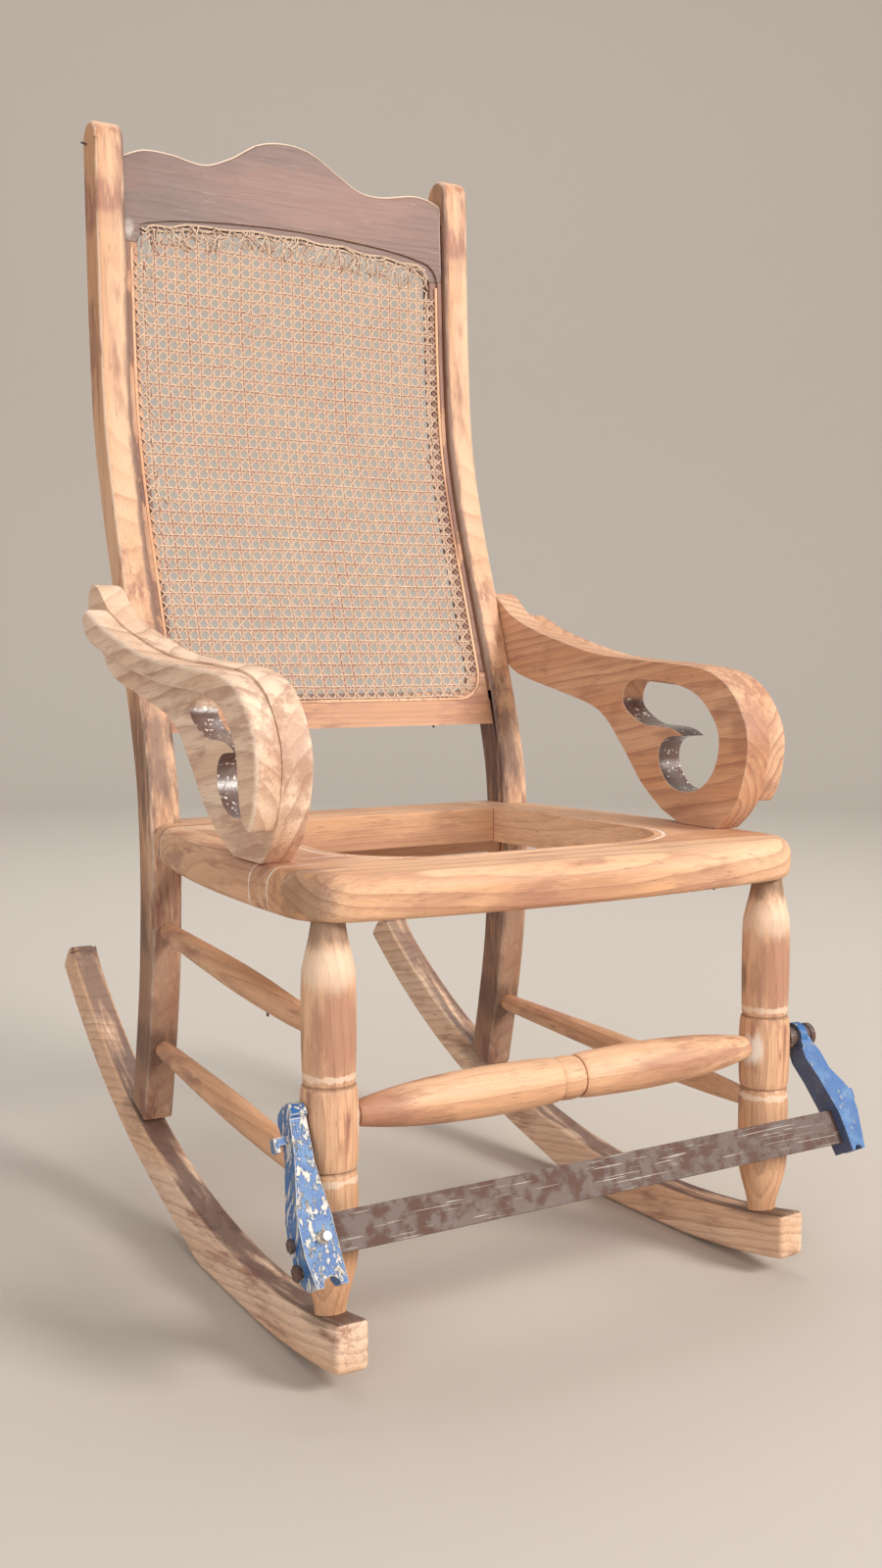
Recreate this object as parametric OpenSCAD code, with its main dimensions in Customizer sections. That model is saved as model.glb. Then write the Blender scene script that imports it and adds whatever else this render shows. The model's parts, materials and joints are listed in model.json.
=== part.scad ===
// Cane-back rocking chair with gooseneck arms, stripped to bare wood, with a
// bar clamp across its front legs. The floor is z = 0 and the chair faces -Y.
// Every module works from the front legs' axes, y = 0, and placed() then moves
// the chair so that its origin lies in the middle of its footprint. Millimetres.

/* [Overall] */
// Half the distance between the front legs' axes
leg_x = 221; // [180:1:270]
// Height of the top of the seat
seat_top = 395; // [325:1:480]
// From the front legs' axes back to the front of the posts, at the seat
seat_depth = 382; // [330:1:460]
// Height of the posts above the seat
back_h = 699; // [580:1:840]
// From the front legs' axes back to the part's origin
origin_y = 312; // [260:1:375]

/* [Rockers] */
// Radius of the running edge
rocker_r = 855; // [750:5:1030]
// Height of the rocker's section
rocker_h = 40; // [33:1:50]
// Thickness of the board that a rocker is sawn from
rocker_t = 29; // [24:1:36]
// How far the rockers turn in towards the rear, in degrees
rocker_toe = 1.8; // [0:0.1:2.2]
// How far the lowest point lies behind the front legs' axes
rocker_low_y = 137; // [110:1:165]
// How far the rocker reaches in front of the front legs' axes
rocker_nose = 40; // [33:1:48]
// Level part of a rocker's underside, back from its lowest line (mm)
rocker_flat = 122; // [102:1:146]
// Angle of the rear tip above the lowest point, in degrees
rocker_tip = 40.3; // [34:0.1:44]

/* [Posts] */
// Thickness of the board that a post is sawn from
post_t = 31; // [26:1:37]
// Front-to-back depth of a post
post_d = 38; // [32:1:45]

/* [Turned legs and stretchers] */
// Largest radius of a front leg, at its barrel
leg_r = 22.8; // [19:0.1:27.4]
// Radius of a front leg under the seat
leg_neck_r = 13; // [11:0.5:15.5]
// Radius of a front leg on the rocker
leg_foot_r = 12; // [10:0.5:14]
// Depth of the turned grooves
leg_groove = 3; // [2:0.5:4]
// Largest radius of the front stretcher
stretcher_r = 20.5; // [17:0.5:22]
// Largest radius of a side stretcher
side_r = 12.5; // [10.5:0.5:15]
// Radius of every round tenon
tenon_r = 8; // [6.5:0.5:9.5]
// Depth of a blind socket
socket_l = 14; // [11:0.5:17]

/* [Seat] */
// Thickness of the seat frame
seat_t = 36; // [30:1:43]
// How far the seat's nose reaches in front of the front legs' axes
seat_nose = 47; // [40:1:56]
// How far the seat's sides reach outside the front legs' axes
seat_over = 30; // [26:1:36]
// Width of the seat's front rail at the middle
seat_front_w = 85; // [71:1:100]
// Width of the seat's side rails at the widest point
seat_side_w = 85; // [71:1:95]
// Width of the seat's back rail
seat_back_w = 69; // [60:1:82]
// Radius of the opening's front corners
opening_r = 85; // [70:1:100]

/* [Back] */
// How far the caned frame is set behind the front of the posts
back_set = 7; // [6:0.5:8.5]
// Thickness of the caned frame
back_t = 18; // [15:0.5:21.5]
// Width of a stile
stile_w = 15; // [13:0.5:18]
// Height of the bottom rail below the cane
bottom_rail_h = 35; // [29:1:42]
// Height of the bottom rail's lower edge above the seat
bottom_rail_gap = 86; // [72:1:103]

/* [Arms] */
// Thickness of an arm's board
arm_t = 26; // [22:1:31]
// Thickness of the cheek glued outside it
cheek_t = 22; // [18:1:26]

/* [Clamp] */
// Height of the bar's section
bar_h = 30; // [25:1:34]
// Thickness of the bar
bar_t = 6; // [5:0.5:7]
// Length of a jaw from the bar's middle to the spindle's axis
jaw_reach = 87; // [80:1:96]
// How far the clamp leans back from upright, in degrees
clamp_lean = 28; // [24:1:32]
// Radius of the spindle
spindle_r = 9; // [7.5:0.5:10]
// Travel of the spindle's pad
pad_travel = 6; // [5:0.5:7]

/* [Hidden] */
$fn = 64;

pine = "burlywood";
pine_dark = "peru";
stain = "rosybrown";
straw = "khaki";
steel = "dimgray";
blue = "steelblue";
brass = "goldenrod";

glue = 0.15;            // clearance of a glued joint, each side
line_gap = 0.2;         // open joint line between two glued faces
running = 0.1;          // clearance of a turning or sliding fit, each side
post_out = leg_x - 2;   // outer face of a post
post_in = post_out - post_t;
post_mid_x = post_out - post_t / 2;
post_top = seat_top + back_h;
seat_under = seat_top - seat_t;

// ---- curves -----------------------------------------------------------
function spline(a, b, c, d, t) =
    0.5 * (2 * b + (c - a) * t + (2 * a - 5 * b + 4 * c - d) * t * t
        + (3 * b - a - 3 * c + d) * t * t * t);
// smooth curve through p, with n steps between neighbours
function open_curve(p, n) = let (m = len(p)) concat(
    [for (i = [0:m - 2], k = [0:n - 1])
        spline(p[max(i - 1, 0)], p[i], p[i + 1], p[min(i + 2, m - 1)], k / n)],
    [p[m - 1]]);
// the same, closed on itself
function closed_curve(p, n) = let (m = len(p))
    [for (i = [0:m - 1], k = [0:n - 1])
        spline(p[(i + m - 1) % m], p[i], p[(i + 1) % m], p[(i + 2) % m], k / n)];
function arc(c, r, a0, a1, n) =
    [for (i = [0:n]) let (a = a0 + (a1 - a0) * i / n) c + r * [cos(a), sin(a)]];
function backwards(p) = [for (i = [len(p) - 1:-1:0]) p[i]];
function mirrored(p) = [for (i = [len(p) - 1:-1:0]) [-p[i][0], p[i][1]]];

module placed() {
    translate([0, -origin_y, 0]) children();
}
// A profile drawn in (y, z) becomes a board between x0 and x1
module board(x0, x1) {
    translate([x0, 0, 0]) rotate([90, 0, 90]) linear_extrude(x1 - x0) children();
}
// An outline drawn in (x, z) becomes a prism between y0 and y1
module through(y0, y1) {
    translate([0, y1, 0]) rotate([90, 0, 0]) linear_extrude(y1 - y0) children();
}
module between(p, q) {
    d = q - p;
    translate(p) rotate([0, acos(d[2] / norm(d)), atan2(d[1], d[0])]) children();
}
module side(s) {
    if (s < 0) mirror([1, 0, 0]) children();
    else children();
}

// ---- the posts' S-curve, which the whole back follows -------------------
function post_point(y, below, above) =
    [seat_depth + y, seat_top * (1 - below) + back_h * above];
POST_KNOTS = [
    post_point(38, 0.80, 0), post_point(20, 0.60, 0), post_point(5, 0.38, 0),
    post_point(-1, 0.14, 0), post_point(2, 0, 0.02), post_point(11, 0, 0.09),
    post_point(32, 0, 0.19), post_point(63, 0, 0.32), post_point(92, 0, 0.44),
    post_point(114, 0, 0.56), post_point(123, 0, 0.68), post_point(128, 0, 0.84),
    post_point(131, 0, 1)];
POST_CURVE = open_curve(POST_KNOTS, 4);
POST_TABLE = [for (p = POST_CURVE) [p[1], p[0]]];
function post_y(z) = lookup(z, POST_TABLE);
function heights(z0, z1) =
    concat([z0], [for (p = POST_CURVE) if (p[1] > z0 + 1 && p[1] < z1 - 1) p[1]], [z1]);
// a slab parallel to the posts' front, from y offset a to b
module curved_slab(x0, x1, z0, z1, a, b) {
    zs = heights(z0, z1);
    board(x0, x1) polygon(concat(
        [for (z = zs) [post_y(z) + a, z]],
        backwards([for (z = zs) [post_y(z) + b, z]])));
}

// ---- rockers ------------------------------------------------------------
rocker_steps = 26;
rocker_in_r = rocker_r - rocker_h;
rocker_axis = [rocker_low_y, rocker_r];
tip_round = 14;
heel_r = 90;             // rounds the end of the level part
function rocker_top(y) = rocker_r - sqrt(pow(rocker_in_r, 2) - pow(y - rocker_low_y, 2));

module rocker_profile() {
    nose_low = -asin((rocker_nose + rocker_low_y) / rocker_r);
    nose_high = -asin((rocker_nose + rocker_low_y) / rocker_in_r);
    // behind its level part the underside climbs straight until it meets the curve again
    climb = 2 * atan(rocker_flat / rocker_r);
    heel = [rocker_low_y + rocker_flat - heel_r * tan(climb / 2), heel_r];
    front = arc(rocker_axis, rocker_r, nose_low - 90, -90, 8);
    bend = arc(heel, heel_r, -90, climb - 90, 4);
    rear = arc(rocker_axis, rocker_r, climb - 90, rocker_tip - 90, 12);
    high = arc(rocker_axis, rocker_in_r, rocker_tip - 91, nose_high - 90, rocker_steps);
    tip_axis = rocker_axis
        + (rocker_in_r + tip_round) * [sin(rocker_tip - 1), -cos(rocker_tip - 1)];
    tip = arc(tip_axis, tip_round, rocker_tip + 5, rocker_tip + 90, 5);
    polygon(concat(front, bend, rear, tip, high));
}
module rocker(s) {
    color(pine) placed() side(s) difference() {
        translate([leg_x, 0, 0]) rotate([0, 0, rocker_toe])
            board(-rocker_t / 2, rocker_t / 2) rocker_profile();
        translate([leg_x, 0, rocker_top(0) - leg_tenon_l - 1])
            cylinder(r = tenon_r + glue, h = rocker_h * 2);
        translate([post_mid_x, post_foot_y, rocker_top(post_foot_y) - leg_tenon_l - 1])
            cylinder(r = tenon_r + glue, h = rocker_h * 2);
    }
}
module left_rocker() { rocker(-1); }
module right_rocker() { rocker(1); }

// ---- back posts -----------------------------------------------------------
leg_tenon_l = 20;
post_foot_y = seat_depth + 38 + post_d / 2;
foot_gap = 0.3;         // under the feet, on the rocker's curved top

module post() {
    z1 = post_top - post_d / 2;
    foot_front = rocker_top(seat_depth + 38) + foot_gap;
    foot_rear = rocker_top(seat_depth + 38 + post_d) + foot_gap;
    zs = heights(foot_front, z1);
    difference() {
        union() {
            board(post_in, post_out) polygon(concat(
                [for (z = zs) [post_y(z), z]],
                backwards([for (z = zs) if (z > foot_rear + 1) [post_y(z) + post_d, z]]),
                [[seat_depth + 38 + post_d, foot_rear]]));
            translate([post_in, post_y(z1) + post_d / 2, z1]) rotate([0, 90, 0])
                cylinder(d = post_d, h = post_t);
            translate([post_mid_x, post_foot_y, rocker_top(post_foot_y) - leg_tenon_l])
                cylinder(r = tenon_r, h = leg_tenon_l + 15);
        }
        // mortises of the rails that end in the post
        for (r = [UNDER_TENON, BOTTOM_TENON, CREST_TENON]) rail_mortise(r);
        between(upper_rear, upper_front) translate([0, 0, -socket_l])
            cylinder(r = tenon_r + glue, h = socket_l + post_d);
        between(lower_rear, lower_front) translate([0, 0, -socket_l])
            cylinder(r = tenon_r + glue, h = socket_l + post_d);
        translate([post_out - dowel_l / 2 - 1, arm_fix[0], arm_fix[1]]) rotate([0, 90, 0])
            cylinder(r = dowel_r + glue, h = dowel_l);
    }
}
module left_back_post() {
    color(pine) placed() difference() {
        side(-1) post();
        nail_holes();
    }
}
module right_back_post() {
    color(pine) placed() post();
}

// ---- side stretchers' ends: where their axes meet leg and post -------------
// the rear points lie on the posts' faces, the front ones inside the legs
upper_rear_z = 0.73 * seat_top;
lower_rear_z = 0.425 * seat_top;
upper_rear = [post_mid_x, post_y(upper_rear_z), upper_rear_z];
upper_front = [leg_x, leg_r - 16, 0.685 * seat_top];
lower_rear = [post_mid_x, post_y(lower_rear_z), lower_rear_z];
lower_front = [leg_x, leg_r - 16, 0.38 * seat_top];

module side_stretcher(rear, front) {
    span = norm(front - rear);
    between(rear, front) rotate_extrude() polygon(concat(
        [[0, -socket_l + 1], [tenon_r, -socket_l + 1]],
        open_curve([[tenon_r, 4], [tenon_r + 1.4, 24], [side_r, span * 0.5],
            [side_r - 1.5, span * 0.8], [tenon_r, span - 18]], 8),
        [[tenon_r, span], [0, span]]));
}
module left_upper_side_stretcher() {
    color(pine) placed() difference() {
        side(-1) side_stretcher(upper_rear, upper_front);
        nail_holes();
    }
}
module left_lower_side_stretcher() {
    color(pine) placed() side(-1) side_stretcher(lower_rear, lower_front);
}
module right_lower_side_stretcher() {
    color(pine) placed() side_stretcher(lower_rear, lower_front);
}

// ---- front legs -----------------------------------------------------------
stretcher_z = 0.52 * seat_top;
groove_low = 0.423 * seat_top;
groove_high = 0.59 * seat_top;
shoulder_z = seat_under - 44;

module leg_section(z0, z1, r0, r1, r2) {
    rotate_extrude() polygon(concat(
        [[0, z0]],
        open_curve([[r0, z0], [r1 - 0.8, z0 + 5], [r1, (z0 + z1) / 2],
            [r1 - 0.8, z1 - 5], [r2, z1]], 5),
        [[0, z1]]));
}
module front_leg() {
    foot = rocker_top(0) - 4;
    groove_r = leg_r - leg_groove;
    difference() {
        translate([leg_x, 0, 0]) union() {
            translate([0, 0, foot + 4 - leg_tenon_l])
                cylinder(r = tenon_r, h = leg_tenon_l + 5);
            intersection() {
                rotate_extrude() polygon(concat([[0, foot]],
                    open_curve([[leg_foot_r, foot], [leg_foot_r + 1.5, foot + 14],
                        [leg_r - 1.2, foot + 48], [leg_r - 0.5, groove_low - 30],
                        [leg_r - 1.2, groove_low - 5], [groove_r, groove_low]], 5),
                    [[0, groove_low]]));
                // the foot is cut to the rocker's curved top
                translate([0, rocker_low_y, rocker_r]) rotate([0, 90, 0])
                    cylinder(r = rocker_in_r - foot_gap, h = 100, center = true);
            }
            leg_section(groove_low, groove_high, groove_r, leg_r, groove_r - 0.4);
            rotate_extrude() polygon(concat([[0, groove_high]],
                open_curve([[groove_r - 0.4, groove_high], [leg_r - 2.2, groove_high + 5],
                    [leg_r - 1.5, (groove_high + shoulder_z) / 2], [leg_r - 1.8, shoulder_z],
                    [leg_r - 3.5, shoulder_z + 12], [leg_neck_r + 2.2, seat_under - 14],
                    [leg_neck_r, seat_under - line_gap]], 5),
                [[0, seat_under - line_gap]]));
            translate([0, 0, seat_under - 5]) cylinder(r = tenon_r, h = leg_tenon_l + 5);
        }
        // socket of the front stretcher
        translate([leg_x - leg_r - 2, 0, stretcher_z]) rotate([0, 90, 0])
            cylinder(r = tenon_r + glue, h = socket_l + 2);
        for (ends = [[upper_rear, upper_front], [lower_rear, lower_front]])
            between(ends[0], ends[1])
                cylinder(r = tenon_r + glue, h = norm(ends[1] - ends[0]) + 1);
    }
}
module left_front_leg() {
    color(pine) placed() side(-1) front_leg();
}
module right_front_leg() {
    color(pine) placed() front_leg();
}

// ---- front stretcher --------------------------------------------------------
bead_w = 12;
module front_stretcher() {
    reach = leg_x - leg_r + socket_l - 1;
    face = leg_x - leg_r;
    half = concat(
        open_curve([[stretcher_r - 2, 0], [stretcher_r - 2.6, bead_w * 0.6],
            [stretcher_r - 4.5, bead_w]], 4),
        open_curve([[stretcher_r - 4.5, bead_w + 0.5], [stretcher_r - 1.5, bead_w + 6],
            [stretcher_r, bead_w + 70], [stretcher_r - 3, face * 0.74],
            [tenon_r + 3, face - 6], [tenon_r, face - 1]], 6),
        [[tenon_r, reach], [0, reach]]);
    color(pine) placed() translate([0, 0, stretcher_z]) rotate([0, 90, 0]) rotate_extrude()
        polygon(concat(half, [for (p = backwards(half)) if (p[1] > 0.1) [p[0], -p[1]]]));
}

// ---- seat ---------------------------------------------------------------------
// The outline is made of arcs that meet smoothly: nose, corners and sides
nose_r = 1258;
flank_r = 1449;
corner_r = 52;
flank_y = 70;
nose_axis = [0, nose_r - seat_nose];
flank_axis = [leg_x + seat_over - flank_r, flank_y];
seat_rear_y = seat_depth + 32;
edge_round = 13;         // width of the rounded edge, seen from above
rim_w = 23;              // width of the curved rim round the front's flat middle
rim_lap = 6;             // how far the rim and the flat middle overlap
flank_w = 200;           // how far in from its edge a side is drawn

// where the corner's centre lies: at fixed distances from the other two
function meet(a, ra, b, rb) =
    let (d = norm(b - a), t = (ra * ra - rb * rb + d * d) / (2 * d),
        h = sqrt(ra * ra - t * t), u = (b - a) / d)
    a + t * u + h * [-u[1], u[0]];
corner_axis = meet(nose_axis, nose_r - corner_r, flank_axis, flank_r - corner_r);
nose_end = atan2(corner_axis[1] - nose_axis[1], corner_axis[0] - nose_axis[0]);
corner_end = atan2(corner_axis[1] - flank_axis[1], corner_axis[0] - flank_axis[0]);
flank_end = asin((seat_depth - flank_y) / flank_r);

module rounded_edge(depth) {
    // section of the edge, its face on x = 0 and its body towards -x
    top = [for (i = [0:6]) let (a = 90 - 15 * i)
        [edge_round * (cos(a) - 1), seat_t * 0.46 * sin(a) + seat_t * 0.54]];
    under = [for (i = [1:4]) let (a = -22.5 * i)
        [edge_round * 0.6 * (cos(a) - 1), seat_t * 0.3 * sin(a) + seat_t * 0.3]];
    polygon(concat([[-depth, 0], [-depth, seat_t]], top, under));
}
module edge_arc(axis, r, a0, a1, depth) {
    translate([axis[0], axis[1], seat_under]) rotate([0, 0, a0])
        rotate_extrude(angle = a1 - a0, $fn = 180) translate([r, 0]) rounded_edge(depth);
}
function inner_half(d) = concat(
    arc(nose_axis, nose_r - d, -90, nose_end, 6),
    arc(corner_axis, corner_r - d, nose_end, corner_end, 6),
    arc(flank_axis, flank_r - d, corner_end, flank_end, 6),
    [[post_in, seat_rear_y]]);
module front_blank() {
    half = [for (p = inner_half(rim_w - rim_lap)) if (p[0] > 1) p];
    translate([0, 0, seat_under]) linear_extrude(seat_t) polygon(concat(half, mirrored(half)));
    edge_arc(nose_axis, nose_r, -180 - nose_end, nose_end, rim_w);
    for (s = [-1, 1]) side(s) {
        edge_arc(corner_axis, corner_r, nose_end, corner_end, rim_w);
        edge_arc(flank_axis, flank_r, corner_end, flank_end + 1, rim_w);
    }
}
module side_blank() {
    for (s = [-1, 1]) side(s)
        edge_arc(flank_axis, flank_r, corner_end, flank_end + 3, flank_w);
}
module back_blank() {
    translate([-post_in, opening_rear - 10, seat_under])
        cube([2 * post_in, seat_rear_y - opening_rear + 10, seat_t]);
}
// Opening of the lost seat cane, grown by m
opening_front = seat_front_w - seat_nose;
opening_rear = seat_rear_y - seat_back_w;
opening_wide = leg_x + seat_over - seat_side_w;
opening_narrow = opening_wide - 16;
module opening(m) {
    r = opening_r + m;
    c = [opening_wide - opening_r, opening_front + opening_r];
    half = concat([[0, c[1] - r]], arc(c, r, -90, 0, 10),
        [[opening_narrow + m, opening_rear + m], [0, opening_rear + m]]);
    polygon(concat(half, mirrored(half)));
}
groove_at = 7;           // from the opening to the cane's groove
groove_w = 4;
module seat_cuts() {
    difference() {
        children();
        translate([0, 0, seat_under - 1]) linear_extrude(seat_t + 2) opening(0);
        translate([0, 0, seat_top - 2.5]) linear_extrude(4) difference() {
            opening(groove_at + groove_w);
            opening(groove_at);
        }
        for (s = [-1, 1]) side(s) {
            // notch round the post
            translate([post_in - line_gap, seat_depth - 3, seat_under - 1])
                cube([post_t + 60, 80, seat_t + 2]);
            translate([leg_x, 0, seat_under - 1])
                cylinder(r = tenon_r + glue, h = leg_tenon_l + 2);
            translate([arm_mid_x, foot_y, seat_top - dowel_l / 2])
                cylinder(r = dowel_r + glue, h = dowel_l);
        }
        nail_holes();
    }
}
module seat_piece(x0, x1, y0, y1) {
    intersection() {
        seat_cuts() children();
        translate([x0, y0, seat_under - 5]) cube([x1 - x0, y1 - y0, seat_t + 10]);
    }
}
far = 400;
joint_left_front = 46;
joint_left_block = 80;
joint_left_rear = seat_depth - 37;
joint_right = 60;
rail_end_x = opening_narrow;
j = line_gap / 2;
module seat_front_rail() {
    color(pine) placed() difference() {
        seat_piece(-far, far, -far, joint_right - j) front_blank();
        translate([-far, joint_left_front - j, 0]) cube([far, far, 2 * far]);
    }
}
module seat_front_corner_block() {
    color(pine_dark) placed()
        seat_piece(-far, -60, joint_left_front + j, joint_left_block - j) side_blank();
}
module seat_left_rail() {
    color(pine) placed()
        seat_piece(-far, -60, joint_left_block + j, joint_left_rear - j) side_blank();
}
module seat_rear_corner_block() {
    color(pine) placed()
        seat_piece(-far, -rail_end_x - j, joint_left_rear + j, seat_rear_y) side_blank();
}
module seat_right_rail() {
    color(pine) placed() difference() {
        seat_piece(60, far, joint_right + j, seat_rear_y) side_blank();
        translate([0, opening_rear - 0.1, 0]) cube([rail_end_x + j, far, far * 2]);
    }
}
module seat_back_rail() {
    color(pine) placed()
        seat_piece(-rail_end_x + j, rail_end_x - j, opening_rear - 0.1, far * 2) back_blank();
}

// ---- rails that end in mortises of the posts ------------------------------------
// a tenon: [front y, depth, lowest z, height]
under_h = 18;
under_d = 22;
under_y = seat_depth + 8;
tenon_in = 12;
UNDER_TENON = [under_y + 5, under_d - 10, seat_under - under_h + 3, under_h - 6];
bottom_z = seat_top + bottom_rail_gap;
crest_z = seat_top + 0.834 * back_h;
BOTTOM_TENON = [post_y(bottom_z + 20) + back_set + 4, back_t - 8, bottom_z + 8, 24];
CREST_TENON = [post_y(crest_z + 40) + back_set + 4, back_t - 8, crest_z + 14, 50];

module rail_tenons(t) {
    reach = post_in + tenon_in - 1;
    translate([-reach, t[0], t[2]]) cube([tenon_in + 4, t[1], t[3]]);
    translate([reach - tenon_in - 4, t[0], t[2]]) cube([tenon_in + 4, t[1], t[3]]);
}
module rail_mortise(t) {
    translate([post_in - 1, t[0] - glue, t[2] - glue])
        cube([tenon_in + 1, t[1] + 2 * glue, t[3] + 2 * glue]);
}
module seat_under_rail() {
    color(pine_dark) placed() union() {
        translate([-post_in + line_gap, under_y, seat_under - under_h - 0.1])
            cube([2 * (post_in - line_gap), under_d, under_h]);
        rail_tenons(UNDER_TENON);
    }
}

// ---- caned back ------------------------------------------------------------------
cane_half = post_in - stile_w;
cane_low = bottom_z + bottom_rail_h;
cane_corner = 22;
cane_top_corner = 14;
arch_low = crest_z + 12;        // height of the opening at its upper corners
arch_rise = 13;
arch_r = (pow(cane_half, 2) + pow(arch_rise, 2)) / (2 * arch_rise);

// outline of the caned opening in (x, z), grown by m
module cane_outline(m) {
    low = arc([cane_half - cane_corner, cane_low + cane_corner], cane_corner + m, -90, 0, 5);
    high = arc([cane_half - cane_top_corner, arch_low - cane_top_corner],
        cane_top_corner + m, 0, 75, 5);
    top_a = asin((cane_half - cane_top_corner) / arch_r);
    top = [for (i = [1:7]) let (a = top_a * (1 - i / 7))
        [arch_r * sin(a), arch_low + arch_rise - arch_r * (1 - cos(a)) + m]];
    half = concat(low, high, top);
    polygon(concat(half, [for (p = backwards(half)) if (p[0] > 0.1) [-p[0], p[1]]]));
}
crest_end = crest_z + 85;       // height of the crest where it meets a post
module crest_outline() {
    w = post_in - line_gap;
    top = open_curve([[-w, crest_end], [-w * 0.88, crest_end + 9], [-w * 0.72, crest_end + 9],
        [-w * 0.53, crest_end + 4], [-w * 0.37, crest_end + 15], [-w * 0.2, crest_end + 34],
        [-5, crest_end + 40], [w * 0.14, crest_end + 35], [w * 0.3, crest_end + 18],
        [w * 0.45, crest_end + 3], [w * 0.6, crest_end + 1], [w * 0.8, crest_end + 8],
        [w * 0.92, crest_end + 6], [w, crest_end]], 5);
    polygon(concat([[w, crest_z + j], [-w, crest_z + j]], top));
}
rebate_w = 9;
rebate_d = 3;
module back_slab(z0, z1) {
    w = post_in - line_gap;
    difference() {
        curved_slab(-w, w, z0, z1, back_set, back_set + back_t);
        through(0, 3 * seat_depth) cane_outline(0);
        intersection() {
            curved_slab(-w, w, z0 - 30, z1 + 30, back_set - 20, back_set + rebate_d);
            through(0, 3 * seat_depth) cane_outline(rebate_w);
        }
    }
}
stile_low = bottom_z + 56;
module crest_rail() {
    color(stain) placed() union() {
        intersection() {
            back_slab(crest_z + j, post_top + 20);
            through(0, 3 * seat_depth) crest_outline();
        }
        rail_tenons(CREST_TENON);
    }
}
module stile(s) {
    side(s) intersection() {
        back_slab(stile_low + j, crest_z - j);
        translate([0, 0, stile_low]) cube([far, 3 * seat_depth, post_top]);
    }
}
module back_left_stile() {
    color(stain) placed() stile(-1);
}
module back_right_stile() {
    color(stain) placed() stile(1);
}
module back_bottom_rail() {
    color(pine) placed() difference() {
        union() {
            back_slab(bottom_z, stile_low - j);
            rail_tenons(BOTTOM_TENON);
        }
        nail_holes();
    }
}
cane_t = 2.2;
// upper edge of the sheet, torn down from the crest in a ragged line
TORN_EDGE = [[-160, -6], [-138, -14], [-120, -5], [-96, -9], [-70, -15], [-44, -10],
    [-18, -18], [10, -13], [34, -20], [62, -15], [88, -24], [112, -17], [134, -22], [158, -12]];
function torn_line(drop) = [for (p = TORN_EDGE) [p[0], arch_top(p[0]) + p[1] - drop]];
function arch_top(x) = arch_low + arch_rise - arch_r * (1 - cos(asin(x / arch_r)));
module cane_panel() {
    color(straw) placed() difference() {
        intersection() {
            curved_slab(-post_in + 6, post_in - 6, cane_low - 12, post_top,
                back_set + rebate_d - 0.1 - cane_t, back_set + rebate_d - 0.1);
            through(0, 3 * seat_depth) cane_outline(5.5);
        }
        through(0, 3 * seat_depth) polygon(concat(
            [[-far, post_top], [-far, arch_low - 30], [-162, arch_low - 24]],
            torn_line(0), [[162, arch_low - 30], [far, arch_low - 34], [far, post_top]]));
    }
}
module cane_torn_strip() {
    color(straw) placed() intersection() {
        curved_slab(-post_in + 6, post_in - 6, cane_low - 12, post_top,
            back_set + rebate_d - 0.1 - cane_t, back_set + rebate_d - 0.1);
        through(0, 3 * seat_depth) intersection() {
            cane_outline(5.5);
            polygon(concat([[-far, post_top], [-165, arch_low - 4]],
                [for (p = TORN_EDGE) [p[0], arch_top(p[0]) + p[1] / 3 + 1.5]],
                [[165, arch_low - 6], [far, post_top]]));
        }
    }
}
module cane_reed() {
    color(straw) placed() intersection() {
        curved_slab(-post_in + 1, post_in - 1, cane_low - 20, crest_z - 6,
            back_set + 0.4, back_set + rebate_d - 0.2);
        through(0, 3 * seat_depth) difference() {
            cane_outline(rebate_w - 0.2);
            cane_outline(5.7);
        }
    }
}

// ---- arms --------------------------------------------------------------------
// outlines in (y, height above the seat); y follows the seat's depth
ay = seat_depth / 382;
function on_arm(p) = [for (q = p) [q[0] * ay, seat_top + q[1]]];
arm_in = post_out + line_gap;
arm_mid_x = arm_in + arm_t / 2;
foot_y = 92 * ay;
arm_fix = [(post_y(seat_top + 195) + 20), seat_top + 195];
dowel_r = 5;
dowel_l = 36;

// the board: foot, front curl, top, lobe behind the post, underside
ARM_TOP = [[56, 10], [40, 28], [29, 60], [27, 88], [36, 111], [55, 134], [86, 149],
    [136, 155], [206, 159], [259, 164], [311, 174], [375, 190], [420, 207], [447, 226],
    [466, 231], [479, 219], [474, 198], [455, 178], [437, 163], [420, 148], [395, 138],
    [344, 127], [274, 112], [243, 98], [212, 68], [183, 36], [150, 12]];
module arm_outline() {
    polygon(concat(on_arm([[122, line_gap], [68, line_gap]]),
        on_arm(open_curve(ARM_TOP, 4))));
}
// the cut-out: two lobes that meet in a cusp
ARM_HOLE = [[118, 85], [132, 91], [150, 93], [176, 94], [196, 101], [211, 112], [212, 126],
    [199, 137], [163, 137], [129, 134], [98, 124], [76, 104], [67, 84], [71, 61], [83, 44],
    [100, 34], [120, 32], [140, 38], [153, 54], [154, 71], [143, 82]];
module arm_hole() { polygon(on_arm(open_curve(concat(ARM_HOLE, [ARM_HOLE[0]]), 4))); }
module arm_board() {
    difference() {
        board(arm_in, arm_in + arm_t) difference() { arm_outline(); arm_hole(); }
        translate([post_out - dowel_l / 2, arm_fix[0], arm_fix[1]]) rotate([0, 90, 0])
            cylinder(r = dowel_r + glue, h = dowel_l / 2 + 20);
        translate([arm_mid_x, foot_y, seat_top - 1])
            cylinder(r = dowel_r + glue, h = dowel_l / 2 + 1);
    }
}
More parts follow.
